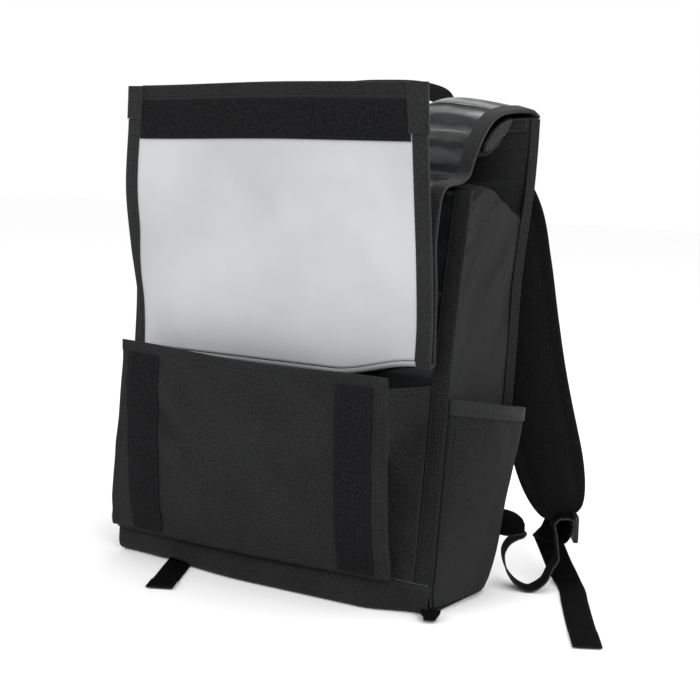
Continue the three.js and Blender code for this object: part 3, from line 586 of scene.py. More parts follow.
# Side panels: flat below, folded inwards above a crease that peaks near the front, and gathered
# in the fold. Under the cover the fold's front ridge leans back and curls out again.
pleat = dict(depth=62, front=30, lean=0.82, turn=10, back=107, wall=60, rise=12, inset=10, curl=(406, 426))
creaseRows = [dict(y=y, z=z) for y, z in (
    (-40, 360), (-8, 368), (10, 377), (28, 385), (36, 383.5), (60, 371), (90, 358), (107, 352))]
creaseAt = through(creaseRows, "z", "y")
gather = dict(depth=3.2, pitch=5.2, start=-4, end=52, low=378, high=428)
drape = dict(depth=2.4, inward=-1.2, low=190, high=400, pitch=13, slant=1.15, ripple=0.7)
sideTops = [dict(y=y, top=top) for y, top in (
    (-60, 381), (-4, 382), (14, 398), (36, 424), (64, 444), (96, 451), (126, 453))]
sideTopAt = through(sideTops, "top", "y")


def sideDepth(y, z):
    curl = ease(z, *pleat["curl"])
    ridge = mix(frontAt(z) + 4, pleat["front"] + pleat["lean"] * (z - 386), curl)
    crease = creaseAt(y) + 2.5 * wander(y, 0, 2, 20)
    walls = ease(y, ridge, ridge + pleat["turn"]) * clamp((pleat["back"] - y) / pleat["wall"])
    fold = pleat["depth"] * walls * ease(z, crease, crease + pleat["rise"])
    inset = pleat["inset"] * curl * (1 - ease(y, 84, pleat["back"]))
    wave = 0.5 + 0.5 * sin(2 * pi * (z + 0.1 * y) / gather["pitch"] + 1.2 * wander(y, z, 3, 12))
    tuck = gather["depth"] * wave * hump(y, gather["start"], gather["end"])
    tuck *= hump(z, gather["low"], gather["high"])
    loose = ease(y, frontAt(z) + 4, frontAt(z) + 26) * (1 - ease(y, 60, 96))
    slack = hump(z, drape["low"], drape["high"]) * loose
    turn = (z - drape["slant"] * y) / drape["pitch"] + 1.4 * wander(y, z, 9, 45)
    hang = max(drape["depth"] * slack * sin(turn), drape["inward"])
    return max(fold, inset) + tuck + hang + drape["ripple"] * loose * wander(y, z, 1, 36)


# Depth and height hang on each other, so a few rounds settle both
def sidePlace(side):
    def place(u, v):
        z = mix(wallLow, backTop, v)
        for settle in range(5):
            y = mix(frontAt(z), backAt(z) - gap, u)
            z = mix(wallLow, sideTopAt(y), v)
        return Vector((side * (bodyHalf - sideDepth(y, z)), y, z))
    return place


for name, side in sides.items():
    wall = sidePlace(side)
    # The side panels' colour is darkened high up deep in their inward fold, as painted shade
    spec = dict(grid=(120, 300), thick=2, lay=-1, flip=side < 0, look=["nylon"],
                nodes=[f"side_panel_{name}"], tweak=dict(tone=(0.0102, 0.0105, 0.011), deep=(0.14, 0.18)))
    clothPiece(f"{name}SideCloth", spec, lambda u, v: wall(u, 1 - (1 - v) ** 1.6))
    hemPlace = raised(wall, side * 1.0)
    hemSpec = dict(grid=(150, 10), thick=1.2, look=["binding"], nodes=[f"gusset_hem_{name}"],
                   tweak=dict(tone=(0.008, 0.0082, 0.0086), worn=0.8, wear=3.0), stitch=bothEdges("v", 2))
    clothPiece(f"{name}GussetHem", hemSpec, lambda u, v: hemPlace(mix(0.1, 0.84, u), mix(0.972, 1, v)))

# Webbing laid over the front seams and folded round the back ones
frontWeb = dict(inner=167, outer=184.5)
backWeb = dict(inner=160, leg=20, round=3)
seamTweak = dict(tone=(0.0105, 0.0107, 0.0112), shine=0.08, wear=2.0)


def frontWebPlace(side):
    def place(u, v):
        z = mix(stripTop + 2, frontTop, v)
        x = mix(frontWeb["inner"], frontWeb["outer"], u)
        crown = 0.5 * sin(pi * u) + 0.35 * wander(x, z, side * 5, 26)
        return Vector((side * x, frontAt(z) - gap - 0.8 - crown, z))
    return place


def backWebPlace(side):
    def place(u, v):
        z = mix(wallLow, backTop - 1, v)
        x, y, r = bodyHalf + 1.3, backAt(z) + 3.3, backWeb["round"]
        flatPart, legPart = x - r - backWeb["inner"], backWeb["leg"] - r
        s = u * (flatPart + pi / 2 * r + legPart)
        sway = 0.4 * wander(z, u * 30, side * 8, 30)
        if s < flatPart:
            return Vector((side * (backWeb["inner"] + s), y + sway, z))
        if s < flatPart + pi / 2 * r:
            angle = (s - flatPart) / r
            return Vector((side * (x - r + r * sin(angle)), y - r + r * cos(angle), z))
        return Vector((side * (x + sway), y - r - (s - flatPart - pi / 2 * r), z))
    return place


for name, side in sides.items():
    spec = dict(grid=(14, 150), thick=1.6, look=["webbing"], nodes=[f"front_webbing_{name}"],
                tweak=seamTweak, stitch=[("u", 2.5), ("u", -2.2)])
    clothPiece(f"{name}FrontWebbing", spec, frontWebPlace(side))
    spec = dict(grid=(34, 170), thick=1.8, look=["webbing"], nodes=[f"back_webbing_{name}"],
                tweak=seamTweak, stitch=bothEdges("u", 2.5) + [("u", 20)])
    clothPiece(f"{name}BackWebbing", spec, backWebPlace(side))

print("stage: cover")
coverTable = [
    (128, 451.5, 181.5), (116, 456, 180.5), (100, 455, 177), (84, 453, 174), (67, 450, 172), (52, 444, 171),
    (37, 433, 171), (25, 420, 171), (16, 407, 171), (9, 396, 171), (-5, 390, 171), (-22, 388, 171),
    (-35, 384, 171), (-42, 373, 171), (-46, 352, 171), (-48, 330, 171), (-44, 290, 171), (-41, 250, 170),
    (-40, 214.5, 170)]
lowFold = dict(centre=-44.5, radius=4.5, z=214.5, half=170, turns=6, tuck=15, flare=8)
for i in range(1, lowFold["turns"] + 1):
    angle = pi * i / lowFold["turns"]
    coverTable.append((lowFold["centre"] + lowFold["radius"] * cos(angle),
                       lowFold["z"] - lowFold["radius"] * sin(angle), lowFold["half"]))
coverRows = [dict(y=y, z=z, half=half) for y, z, half in coverTable]
coverY, coverZ, coverHalf = (through(coverRows, key) for key in ("y", "z", "half"))

# The way travelled along the cover's profile
coverArcs = [dict(arc=0)]
for before, row in zip(coverRows, coverRows[1:]):
    step = sqrt((row["y"] - before["y"]) ** 2 + (row["z"] - before["z"]) ** 2)
    coverArcs.append(dict(arc=coverArcs[-1]["arc"] + step))
coverArc = through(coverArcs, "arc")


# The fold's right end is tucked up
def foldLift(u):
    return lowFold["tuck"] * ease(u, 0.7, 0.965)


# Rubber strips lie side by side across the cover, each crowned and lapped over the next
strips = dict(wide=46, start=57, lap=1.1, crown=1.8, dent=3.2, hem=0.09)


def coverBase(u, v):
    row = v * (len(coverRows) - 1)
    x = mix(-1, 1, u) * coverHalf(row)
    flare = lowFold["flare"] * (1 - ease(u, 0, 0.14)) * ease(row, 15, 18.3)
    rise = arch(x) * (1 - ease(row, 2, 9)) + foldLift(u) * ease(row, 14, 18)
    inner = ease(u, 0, strips["hem"]) * ease(1 - u, 0, strips["hem"]) * ease(row, 0.5, 2)
    strip = (coverArc(row) - strips["start"]) / strips["wide"]
    within = strip - floor(strip)
    lap = (strips["lap"] * within + strips["crown"] * sin(pi * within)) * inner * (1 - ease(row, 16, 18))
    dent = strips["dent"] * wander(x, row * 15, 4, 42) * hump(row, 0.5, 13) * inner
    dy, dz = coverY(row + 0.05) - coverY(row - 0.05), coverZ(row + 0.05) - coverZ(row - 0.05)
    size = sqrt(dy * dy + dz * dz) + 1e-9
    out = lap + dent
    return Vector((x - flare, coverY(row) + dz / size * out, coverZ(row) + rise - dy / size * out))


coverSpec = dict(grid=(150, 300), thick=2, flip=True, look=["rubber", "vinyl"], nodes=["cover_sheet"])
cover = clothPiece("coverCloth", coverSpec, coverBase)
# The tapes' fold value places the painted highlight along their fold line, across the tape in metres
tape = dict(cover=12.5, flap=13.5, narrow=6.5, round=1.7, fold=0.0155)
for name, side in sides.items():
    edge = edgeOf(coverBase, 1 if side > 0 else 0, 0, 1)
    spec = dict(grid=(24, 220), thick=0.8, look=["binding"], nodes=[f"cover_binding_{name}"],
                tweak=dict(fold=tape["fold"]), stitch=bothEdges("u", 2))
    bound = foldedTape(edge, tape["cover"], tape["round"])
    clothPiece(f"{name}CoverBinding", spec, bound)

print("stage: flap")
flapRows = [dict(z=z, y=y, left=left, right=right) for z, y, left, right in (
    (215.1, -49, -165, 170), (262, -51, -165, 172), (316, -56, -171, 172),
    (371, -60, -175, 170), (436, -62, -171, 166), (477, -62, -170, 163))]
flapDepth, flapLeft, flapRight = (through(flapRows, key, "z") for key in ("y", "left", "right"))
flapLow, flapTop, flapDip = 215.1, 474.5, 4
flapBillow = dict(broad=2.6, fine=1.4)
tabLow = {"left": 444, "right": 431}
# The tabs' fold value places the painted highlight along their fold line, across the tape in metres
tab = dict(leg=16.5, round=2.9, fold=0.021, rise=1.5)
hemSpan = dict(leg=13, round=1.8, start=0.045, end=0.955, strip=37, out=2.1)


def flapPart(z):
    return (z - flapLow) / (flapTop - flapLow)


def flapPlace(u, v):
    z = mix(flapLow, flapTop - flapDip * (1 - ease(u, 0, 0.6)), v) + foldLift(u) * (1 - ease(v, 0, 0.5))
    x = mix(flapLeft(z), flapRight(z), u)
    loose = hump(v, 0.02, 0.86) ** 0.6 * hump(u, 0, 1) ** 0.5
    billow = (flapBillow["broad"] * wander(x, z, 2, 70) + flapBillow["fine"] * wander(x, z, 7, 30)) * loose
    return Vector((x, flapDepth(z) - billow, z))


flapSpec = dict(grid=(120, 100), thick=2, look=["vinyl", "rubber"], nodes=["front_flap"])
flap = clothPiece("flapCloth", flapSpec, flapPlace)
for name, side in sides.items():
    u = 1 if side > 0 else 0
    edge = edgeOf(flapPlace, u, 0, flapPart(tabLow[name] - gap))
    spec = dict(grid=(24, 110), thick=0.8, look=["binding"], nodes=[f"flap_binding_{name}"],
                tweak=dict(fold=tape["fold"]), stitch=bothEdges("u", 2))
    low = tape["narrow"] if side < 0 else tape["flap"]  # the left tape is trimmed at its lower end

    def tapeLeg(v, low=low):
        return mix(low, tape["flap"], ease(v, 0.28, 0.58))

    clothPiece(f"{name}FlapBinding", spec, foldedTape(edge, tapeLeg, tape["round"]))
    tabEdge = edgeOf(flapPlace, u, flapPart(tabLow[name]), 1)

    def tabAt(v, tabEdge=tabEdge):
        edge, inward, normal = tabEdge(v)
        return edge + Vector((0, 0, tab["rise"] * v)), inward, normal

    spec = dict(grid=(28, 24), thick=1.2, look=["binding"], nodes=[f"flap_tab_{name}"],
                tweak=dict(fold=tab["fold"]), stitch=bothEdges("u", 2) + bothEdges("v", 2.5))
    clothPiece(f"{name}FlapTab", spec, foldedTape(tabAt, tab["leg"], tab["round"]))


def hemEdge(v):
    edge = flapPlace(mix(hemSpan["start"], hemSpan["end"], v), 1)
    return edge, Vector((0, 0, -1)), Vector((0, -1, 0))


hemSpec = dict(grid=(26, 150), thick=0.9, look=["nylon"], nodes=["flap_hem"],
               tweak=dict(tone=(0.0125, 0.0127, 0.0132)), stitch=bothEdges("u", 2))
clothPiece("flapHem", hemSpec, foldedTape(hemEdge, hemSpan["leg"], hemSpan["round"]))


def loopPlace(u, v):
    high = flapTop - hemSpan["leg"] - gap
    z = mix(high - hemSpan["strip"], high, v)
    spot = flapPlace(mix(hemSpan["start"], hemSpan["end"], u), flapPart(z))
    return spot - Vector((0, hemSpan["out"], 0))


loopSpec = dict(grid=(150, 24), thick=1.6, look=["fastener"], nodes=["loop_strip"],
                stitch=bothEdges("v", 2.5) + bothEdges("u", 2.5))
clothPiece("loopStrip", loopSpec, loopPlace)

print("stage: front pocket")
pocketRows = [dict(z=z, y=y, left=left, right=right) for z, y, left, right in (
    (28, -62, -187, 147), (60, -70.5, -181.5, 148), (120, -79, -169, 149),
    (180, -84, -159, 150), (220, -85, -157, 150))]
pocketDepth, pocketLeft, pocketRight = (through(pocketRows, key, "z") for key in ("y", "left", "right"))
pocketLow, pocketTop = 28, 220
sag = dict(middle=3, right=-3, left=4, bulge=4)
pocketFolds = dict(drag=2.0, slack=1.2, hem=0.7, puff=1.5)


def pocketBase(u, v):
    level = mix(pocketLow, pocketTop, v)
    lift = mix(sag["left"], sag["right"], u) - sag["middle"] * hump(u, 0, 1)
    x = mix(pocketLeft(level), pocketRight(level), u)
    return Vector((x, pocketDepth(level) - sag["bulge"] * hump(u, 0, 1), level + lift * v))


# Soft creases that run in from the upper left corner, and slack cloth along the bottom seam
def pocketPlace(u, v):
    spot = pocketBase(u, v)
    x, z = spot.x, spot.z
    drag = hump(u, 0.05, 0.42) * hump(v, 0.25, 1.1)
    crease = pocketFolds["drag"] * drag * sin((x * 0.55 + z) / 8.5 + 1.5 * wander(x, z, 5, 50))
    slack = pocketFolds["slack"] * wander(x, z * 1.6, 6, 42) * (1 - ease(v, 0.9, 1))
    hem = pocketFolds["hem"] * ease(v, 0.945, 0.95)
    puff = pocketFolds["puff"] * hump(v, -0.02, 0.09)
    return spot - Vector((0, crease + slack + hem + puff, 0))


pocketSpec = dict(grid=(190, 150), thick=1.5, lay=-1, look=["nylon"], nodes=["pocket_face"],
                  stitch=[("v", -10), ("v", 2.5), ("u", 9), ("u", -10)])
clothPiece("pocketFace", pocketSpec, pocketPlace)

# Pocket pleats: each bends in between the face's edge and its seam beside the front webbing,
# with one slanting ridge and a hollow under it
pocketPleat = dict(inset=42, open=6, share=0.42, top=206.5, ridge=4.5, hollow=2.5, ripple=1.6)
flange = frontWeb["inner"] - 4 * gap
for name, side in sides.items():
    edgeU = 1 if side > 0 else 0

    def pleatPlace(u, v, side=side, edgeU=edgeU):
        z = mix(pocketLow, pocketPleat["top"], v)
        face = pocketBase(edgeU, (z - pocketLow) / (pocketTop - pocketLow))
        near = Vector((face.x - side * 3, face.y + 2.7, z))
        seam = Vector((side * flange, frontAt(z) - 1.3, z))
        inset = mix(pocketPleat["inset"], pocketPleat["open"], ease(v, 0.35, 1))
        bend = Vector((side * (flange - inset), mix(seam.y, near.y, pocketPleat["share"]), z))
        curve = (1 - u) ** 2 * seam + 2 * u * (1 - u) * (2 * bend - (seam + near) / 2) + u * u * near
        line = (z - 150) - (u - 0.5) * 80
        ridge = pocketPleat["hollow"] * bell(line + 26, 14) - pocketPleat["ridge"] * bell(line, 13)
        ridge += pocketPleat["ripple"] * wander(u * 40, z, side * 3, 30)
        ripple = sin(pi * u) * ridge * hump(v, 0.05, 1.05)
        return curve + Vector((side * ripple * 0.3, ripple * 0.9, 0))

    spec = dict(grid=(50, 110), thick=1.5, look=["nylon"], nodes=[f"pocket_pleat_{name}"],
                stitch=[("v", -4)])
    clothPiece(f"{name}PocketPleat", spec, pleatPlace)


def floorPlace(u, v):
    face = pocketBase(mix(0.02, 0.98, u), 0)
    return Vector((face.x, mix(frontAt(stripTop) - gap, face.y, v), stripTop + 0.9))


floorSpec = dict(grid=(60, 6), thick=1.2, look=["nylon"], nodes=["pocket_floor"])
clothPiece("pocketFloor", floorSpec, floorPlace)

hooks = {"left": dict(top=-148.5, low=-157), "right": dict(top=97, low=91)}
hookStrip = dict(wide=38, low=0.01, high=0.94, out=0.9)
for name, ends in hooks.items():
    def hookPlace(u, v, ends=ends):
        part = mix(hookStrip["low"], hookStrip["high"], v)
        level = mix(pocketLow, pocketTop, part)
        x = mix(ends["low"], ends["top"], v) + hookStrip["wide"] * u
        across = (x - pocketLeft(level)) / (pocketRight(level) - pocketLeft(level))
        return pocketPlace(across, part) - Vector((0, hookStrip["out"], 0))

    spec = dict(grid=(30, 130), thick=1.2, look=["fastener"], nodes=[f"hook_strip_{name}"],
                tweak=dict(lint=0.4), stitch=bothEdges("u", 2.5) + bothEdges("v", 2.5))
    clothPiece(f"{name}HookStrip", spec, hookPlace)

print("stage: side pockets")
sidePocket = dict(front=4, back=3, low=6, topFront=196, topBack=176, hem=0.925, hemOut=2.3,
                  base=5, bulge=22, box=0.5, lean=1.5, over=2.3, drag=2.6, slack=1.5)


def sidePocketPlace(side):
    def place(u, v):
        z = mix(sidePocket["low"], mix(sidePocket["topFront"], sidePocket["topBack"], u), v)
        y = mix(frontAt(z) + sidePocket["front"], backAt(z) - sidePocket["back"], u)
        swell = sidePocket["base"] + sidePocket["bulge"] * ease(v, 0, 0.95)
        over = sidePocket["over"] * ease(u, 0.6, 0.8)
        out = swell * clamp(sin(pi * u ** sidePocket["lean"])) ** sidePocket["box"]
        middle = hump(u, 0.02, 0.98)
        line = (u - 0.72) * 60 + (v - 0.8) * 95
        drag = sidePocket["drag"] * bell(line, 7) * hump(v, 0.45, 1) * middle
        slack = sidePocket["slack"] * middle * wander(y, z, 11 * side, 34) * (1 - ease(v, 0.85, 0.95))
        return Vector((side * (bodyHalf + gap + over + out - drag + slack), y, z))
    return place


for name, side in sides.items():
    spec = dict(grid=(90, 110), thick=1.5, lay=1, flip=side < 0, look=["nylon"],
                nodes=[f"side_pocket_{name}"], tweak=dict(tone=(0.0095, 0.0098, 0.0102)),
                stitch=bothEdges("u", 3) + [("v", 3)])
    pocket = sidePocketPlace(side)
    clothPiece(f"{name}SidePocket", spec, pocket)
    outside = raised(pocket, side * sidePocket["hemOut"])
    spec = dict(grid=(90, 10), thick=1.2, look=["binding"], nodes=[f"side_pocket_hem_{name}"],
                stitch=bothEdges("v", 2))
    clothPiece(f"{name}SidePocketHem", spec, lambda u, v: outside(u, mix(sidePocket["hem"], 1, v)))

print("stage: straps")
strap = dict(width=72, length=388, tip=24, taper=0.8, edge=3, pad=8, crown=1.5, sewn=0.06,
             flange=0.17, held=0.07, grid=(48, 96))
padFlat = strap["width"] * mm, strap["length"] * mm
filling = dict(quality=6, pressure=4, frames=20, cap=5)
strapRows = [
    (106, 125.5, 424, 1, 0.04, 0.35), (127, 129, 397, 1, 0.02, 0.4), (150, 136, 360, 1, 0.1, 0.4),
    (160, 141, 310, 1, 0.2, 0.2), (169, 143, 255, 1, 0.28, 0.15), (181, 142, 200, 1, 0.32, 0.2),
    (195.5, 139.5, 150, 1, 0.34, 0.2), (210.5, 136.8, 105, 1, 0.34, 0.3), (229, 130.8, 64, 1, 0.34, 0.5)]


# The lower end is rounded off towards the buckle
def strapWidth(v):
    t = clamp((v - strap["taper"]) / (1 - strap["taper"]))
    return mix(strap["width"], strap["tip"], 1 - sqrt(1 - t * t))


def acrossStrap(u):
    return 2 * u if u < 0.5 else 2 - 2 * u


# Padded strap: round its section once, so that both faces and the edges are one closed skin
def strapPlace(rows):
    middle = ribbon(rows, strapWidth)

    def place(u, v):
        s = acrossStrap(u)
        normal = normalAt(middle, s, v) * (1 if u < 0.5 else -1)
        inside = min(s, 1 - s)
        ends = min(v, 1 - v)
        puff = ease(inside, strap["flange"], strap["flange"] + 0.12) * ease(ends, 0, strap["sewn"])
        thick = mix(strap["edge"], strap["pad"] + strap["crown"] * hump(s, 0.1, 0.9), puff) / 2
        thick *= sqrt(clamp(inside / 0.012)) * sqrt(clamp(ends / 0.004))
        return middle(s, v) + normal * thick
    return place


# Fills a pad as air would: cloth under pressure, held along its sewn edges
def swell(obj, held):
    group = obj.vertex_groups.new(name="sewn")
    group.add(held, 1.0, "REPLACE")
    cloth = obj.modifiers.new("swell", "CLOTH")
    cloth.settings.quality = filling["quality"]
    cloth.settings.use_pressure = True
    cloth.settings.uniform_pressure_force = filling["pressure"]
    cloth.settings.effector_weights.gravity = 0
    cloth.settings.vertex_group_mass = "sewn"
    cloth.collision_settings.use_collision = False
    for step in range(filling["frames"]):
        bpy.context.scene.frame_set(step + 1)
    filled = obj.evaluated_get(bpy.context.evaluated_depsgraph_get())
    moves = [b.co - a.co for a, b in zip(obj.data.vertices, filled.data.vertices)]
    obj.modifiers.remove(cloth)
    bpy.context.scene.frame_set(1)
    for vert, move in zip(obj.data.vertices, moves):
        vert.co += move * min(1, filling["cap"] * mm / max(move.length, 1e-9))
    print("filled", obj.name, "by up to", round(max(move.length for move in moves) / mm, 1), "mm")


def padFlatAt(u, v):
    return acrossStrap(u) * padFlat[0], v * padFlat[1]


def isSewn(uv):
    rim, end = strap["flange"] * padFlat[0], strap["held"] * padFlat[1]
    return not (rim < uv.x < padFlat[0] - rim and end < uv.y < padFlat[1] - end)


for name, rows in {"right": strapRows, "left": mirrored(strapRows)}.items():
    bm, flat = layGrid(strap["grid"], strapPlace(rows), padFlatAt)
    bmesh.ops.remove_doubles(bm, verts=bm.verts[:], dist=1e-6)
    bmesh.ops.recalc_face_normals(bm, faces=bm.faces[:])
    bm.verts.index_update()
    held = [loop.vert.index for face in bm.faces for loop in face.loops if isSewn(loop[flat].uv)]
    spec = dict(look=["strap"], nodes=[f"shoulder_strap_{name}"],
                stitch=bothEdges("u", 2.5) + bothEdges("u", 12))
    pad = finishPiece(f"{name}Strap", meshOf(bm, f"{name}Strap"), spec, padFlat)
    swell(pad, held)
    smooth = pad.modifiers.new("smooth", "SUBSURF")
    smooth.levels = smooth.render_levels = 1
    print("made", f"{name}Strap")

# Buckles: a frame with two slots, from a grid whose lines stand at the bars' edges
buckle = dict(x=243.6, y=123.5, z=58.4, turn=2.13, thick=4, corner=4, round=0.7, slot=4.5)
buckleX = (-17, -13, 13, 17)
buckleZ = (-13, -7.25, -1.75, 1.75, 7.25, 13)
buckleSize = (buckleX[-1] - buckleX[0]) * mm, (buckleZ[-1] - buckleZ[0]) * mm


def isSlot(face):
    spot = face.calc_center_median() / mm
    return abs(spot.x) < 1 and abs(abs(spot.z) - buckle["slot"]) < 1


# An edge through the thickness at one of the four outer corners
def isCorner(edge):
    a, b = (vert.co / mm for vert in edge.verts)
    return abs(a.y - b.y) > 3 and abs(a.x) > buckleX[-1] - 1 and abs(a.z) > buckleZ[-1] - 1


for name, side in sides.items():
    columns, rows = len(buckleX) - 1, len(buckleZ) - 1
    bm = bmesh.new()
    bmesh.ops.create_grid(bm, x_segments=columns, y_segments=rows, size=0.5)
    for vert in bm.verts:
        i, j = round((vert.co.x + 0.5) * columns), round((vert.co.y + 0.5) * rows)
        vert.co = Vector((buckleX[i], 0, buckleZ[j])) * mm
    slots = [face for face in bm.faces if isSlot(face)]
    bmesh.ops.delete(bm, geom=slots, context="FACES")
    made = bmesh.ops.extrude_face_region(bm, geom=bm.faces[:])
    moved = [item for item in made["geom"] if isinstance(item, bmesh.types.BMVert)]
    bmesh.ops.translate(bm, verts=moved, vec=(0, buckle["thick"] * mm, 0))
    bmesh.ops.translate(bm, verts=bm.verts[:], vec=(0, -buckle["thick"] / 2 * mm, 0))
    bmesh.ops.recalc_face_normals(bm, faces=bm.faces[:])
    corners = [edge for edge in bm.edges if isCorner(edge)]
    bmesh.ops.bevel(bm, geom=corners, offset=buckle["corner"] * mm, segments=5, profile=0.5,
                    affect="EDGES", material=-1)
    sharp = [edge for edge in bm.edges if len(edge.link_faces) == 2 and edge.calc_face_angle(0) > 0.6]
    bmesh.ops.bevel(bm, geom=sharp, offset=buckle["round"] * mm, segments=3, profile=0.5,
                    affect="EDGES", material=-1)
    turn = Matrix.Rotation(side * buckle["turn"], 4, "Z")
    move = Matrix.Translation(Vector((side * buckle["x"], buckle["y"], buckle["z"])) * mm)
    bmesh.ops.transform(bm, matrix=move @ turn, verts=bm.verts[:])
    flat = bm.loops.layers.uv.new("cut")
    for face in bm.faces:
        for loop in face.loops:
            loop[flat].uv = (loop.vert.co.x, loop.vert.co.z)
    spec = dict(look=["plastic"], nodes=[f"strap_buckle_{name}"])
    finishPiece(f"{name}Buckle", meshOf(bm, f"{name}Buckle"), spec, buckleSize)
    print("made", f"{name}Buckle")


# A place beside the right buckle, with the webbing's width given along the buckle, away from it and up
def besideBuckle(distance, along, up, wide=(1, 0, 0)):
    c, d = cos(buckle["turn"]), sin(buckle["turn"])
    x = buckle["x"] + c * along - d * distance
    y = buckle["y"] + d * along + c * distance
    return (x, y, buckle["z"] + up, c * wide[0] - d * wide[1], d * wide[0] + c * wide[1], wide[2])


# Webbing: sewn to the back panel at the anchor, looped, and through the buckle to its free end
webbing = dict(wide=25.4, thick=1.6, anchor=63, sewnFold=1.3)
anchor = backAt(webbing["anchor"]) + 3.7
lowerRows = [
    (164, anchor, 63, 0, 0.2, 1), (178, anchor, 63, 0, 0.2, 1), (187, anchor + 2.5, 62, -0.15, 0.3, 0.9),
    (196, 83.5, 60.5, -0.3, 0.55, 0.75), (203, 86.5, 58.5, -0.45, 0.75, 0.45),
    (206.5, 88.5, 55.5, -0.52, 0.82, 0.2), (205.5, 87.5, 52, -0.54, 0.84, 0),
    (200, 84.5, 49, -0.54, 0.84, 0), (194, 81, 44, -0.54, 0.84, 0),
    (190, 78.5, 34, -0.54, 0.84, 0), (194, 78.5, 17.5, -0.54, 0.84, 0), (206, 79, 5.5, -0.54, 0.84, 0),
    (218.5, 81.5, 2, -0.54, 0.84, 0), (228.4, 88.2, 9, -0.54, 0.84, 0), (232.2, 96.5, 21, -0.54, 0.84, 0),
    besideBuckle(18, -12, -27), besideBuckle(19.2, -8, -6.5), besideBuckle(20.4, -4.5, 3),
    besideBuckle(17, -2, 8.3), besideBuckle(10.5, -1, 10.4), besideBuckle(4.5, 0, 9.3),
    besideBuckle(2.3, 0, 9)]
tailStart = [besideBuckle(3.7, 0, 3), besideBuckle(4.5, 0, -3)]
tailRows = {
    "right": tailStart + [
        besideBuckle(6.5, 5, -7, (0.9, 0, 0.35)), besideBuckle(12, 15, -9, (0.35, 0, 0.9)),
        besideBuckle(19, 22, -9.5, (0, 0, 1)), besideBuckle(25.5, 24.5, -7.5, (0.25, -0.45, 0.8)),
        besideBuckle(28.5, 27, -7.5, (0.6, -0.6, 0.5)), besideBuckle(26, 29.5, -9.5, (0.4, -0.75, 0.5)),
        besideBuckle(22.5, 29, -16.5, (0.15, -0.9, 0.35)), besideBuckle(17, 26, -28.5, (0, -1, 0.1)),
        (226, 132, 15, 0.92, 0.4, 0), (239, 124, 3.5, 0.9, 0.44, 0), (252, 106, 1, 0.88, 0.47, 0),
        (272, 68, 1, 0.877, 0.48, 0), (302, 12, 1, 0.877, 0.48, 0), (337, -51, 1, 0.877, 0.48, 0)],
    "left": mirrored(tailStart + [besideBuckle(5, 3, -14)]) + [
        (-224, 139, 30, 0.75, 0.66, 0), (-206, 123, 8, 0.88, 0.48, 0)] + [
        (tailX(y), y, 1, 0.889, 0.457, 0) for y in (102, 0, -70, -142)],
}
for name in sides:
    rows = lowerRows if name == "right" else mirrored(lowerRows)
    spec = dict(grid=(10, 240), thick=webbing["thick"], look=["webbing", "webbing", "edge"], rim=2,
                nodes=[f"lower_webbing_{name}"])
    clothPiece(f"{name}LowerWebbing", spec, ribbon(rows, webbing["wide"]))
    spec = dict(grid=(10, 240), thick=webbing["thick"], look=["webbing"], nodes=[f"strap_tail_{name}"],
                stitch=[("v", -11)])
    tail = ribbon(tailRows[name], webbing["wide"])

    # The end is folded back on itself and sewn
    def tailPlace(u, v, tail=tail):
        return tail(u, v) + Vector((0, 0, webbing["sewnFold"] * ease(v, 0.955, 0.962)))

    clothPiece(f"{name}StrapTail", spec, tailPlace)

# Grab handle: a bow of webbing behind the top edge
halfHandle = [
    (74, 125, 441, 1, 0, 0), (79, 126, 454, 1, 0, 0.3), (76, 131, 470, 0.8, 0.35, 0.6),
    (48, 136, 480, 0.3, 0.5, 0.85), (0, 138, 483, 0, 0.55, 0.83)]
handleRows = halfHandle + mirrored(halfHandle[:-1])[::-1]
handleSpec = dict(grid=(12, 160), wide=18, thick=2.4, look=["strap"], nodes=["grab_handle"],
                  stitch=bothEdges("u", 2))
clothPiece("grabHandle", handleSpec, ribbon(handleRows, handleSpec["wide"]))

# Corner tab: a short loop under the front right corner, narrower at its fold
tabRows = [
    (186, -55.2, 6, 0.866, 0.5, 0), (190.5, -64, 7.5, 0.866, 0.5, 0), (195.6, -73.5, 5, 0.866, 0.5, 0),
    (191, -66.5, 1.4, 0.866, 0.5, 0), (186, -56, 1, 0.866, 0.5, 0)]
cornerSpec = dict(grid=(10, 50), wide=18, narrow=11, thick=1.4, look=["webbing"], nodes=["corner_tab"],
                  tweak=dict(worn=0.1))


def cornerWidth(v):
    return mix(cornerSpec["wide"], cornerSpec["narrow"], ease(v, 0.25, 0.5))


clothPiece("cornerTab", cornerSpec, ribbon(tabRows, cornerWidth, 0.75))

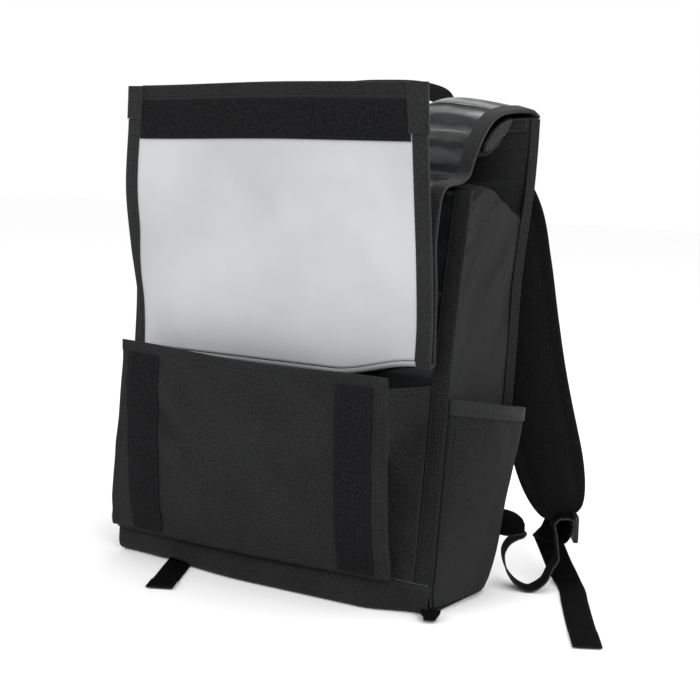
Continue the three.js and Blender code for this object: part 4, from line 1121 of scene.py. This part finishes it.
print("stage: floor, lights and camera")
paperLook = {"Base Color": (0.975, 0.975, 0.975, 1), "Roughness": 0.9, "Specular IOR Level": 0.1}
paper = bpy.data.materials.new("paper")
paper.use_nodes = True
for key, value in paperLook.items():
    paper.node_tree.nodes["Principled BSDF"].inputs[key].default_value = value
bm = bmesh.new()
bmesh.ops.create_grid(bm, x_segments=1, y_segments=1, size=9)
floorObject = bpy.data.objects.new("floor", meshOf(bm, "floor"))
floorObject.data.materials.append(paper)
bpy.context.collection.objects.link(floorObject)

world = bpy.data.worlds.new("studio")
world.use_nodes = True
world.node_tree.nodes["Background"].inputs["Color"].default_value = (1, 1, 1, 1)
world.node_tree.nodes["Background"].inputs["Strength"].default_value = 1.0
bpy.context.scene.world = world

lamps = {
    "key": dict(spot=(-0.9, -2.4, 1.9), wide=1.6, tall=1.4, watts=18),
    "fill": dict(spot=(2.1, -1.7, 1.3), wide=1.2, tall=1.2, watts=30),
    "top": dict(spot=(0.3, 0.5, 2.3), wide=2.4, tall=0.8, watts=14),
    "rim": dict(spot=(1.2, 2.2, 1.4), wide=1.2, tall=1.6, watts=6),
}
aim = Vector((0, 0, 0.25))
for name, lamp in lamps.items():
    light = bpy.data.lights.new(name, "AREA")
    light.shape = "RECTANGLE"
    light.size, light.size_y = lamp["wide"], lamp["tall"]
    light.energy = lamp["watts"]
    holder = bpy.data.objects.new(name, light)
    holder.location = lamp["spot"]
    holder.rotation_euler = (aim - Vector(lamp["spot"])).to_track_quat("-Z", "Y").to_euler()
    bpy.context.collection.objects.link(holder)

# The camera stands where the photograph was taken from
view = dict(yaw=32.4, pitch=7.2, roll=1.9, spot=(0.812, -1.192, 0.404), lens=76.114)
yaw, pitch, roll = (view[key] * pi / 180 for key in ("yaw", "pitch", "roll"))
backward = Vector((sin(yaw) * cos(pitch), -cos(yaw) * cos(pitch), sin(pitch)))
level = Vector((cos(yaw), sin(yaw), 0))
upright = level.cross(-backward)
rightward = level * cos(roll) + upright * sin(roll)
upward = upright * cos(roll) - level * sin(roll)
lens = bpy.data.cameras.new("camera")
lens.lens, lens.sensor_width = view["lens"], 36
lens.clip_end = 60
eye = bpy.data.objects.new("camera", lens)
turn = Matrix((rightward, upward, backward)).transposed().to_4x4()
eye.matrix_world = Matrix.Translation(view["spot"]) @ turn
bpy.context.collection.objects.link(eye)
bpy.context.scene.camera = eye
bpy.context.scene.view_settings.view_transform = "Standard"
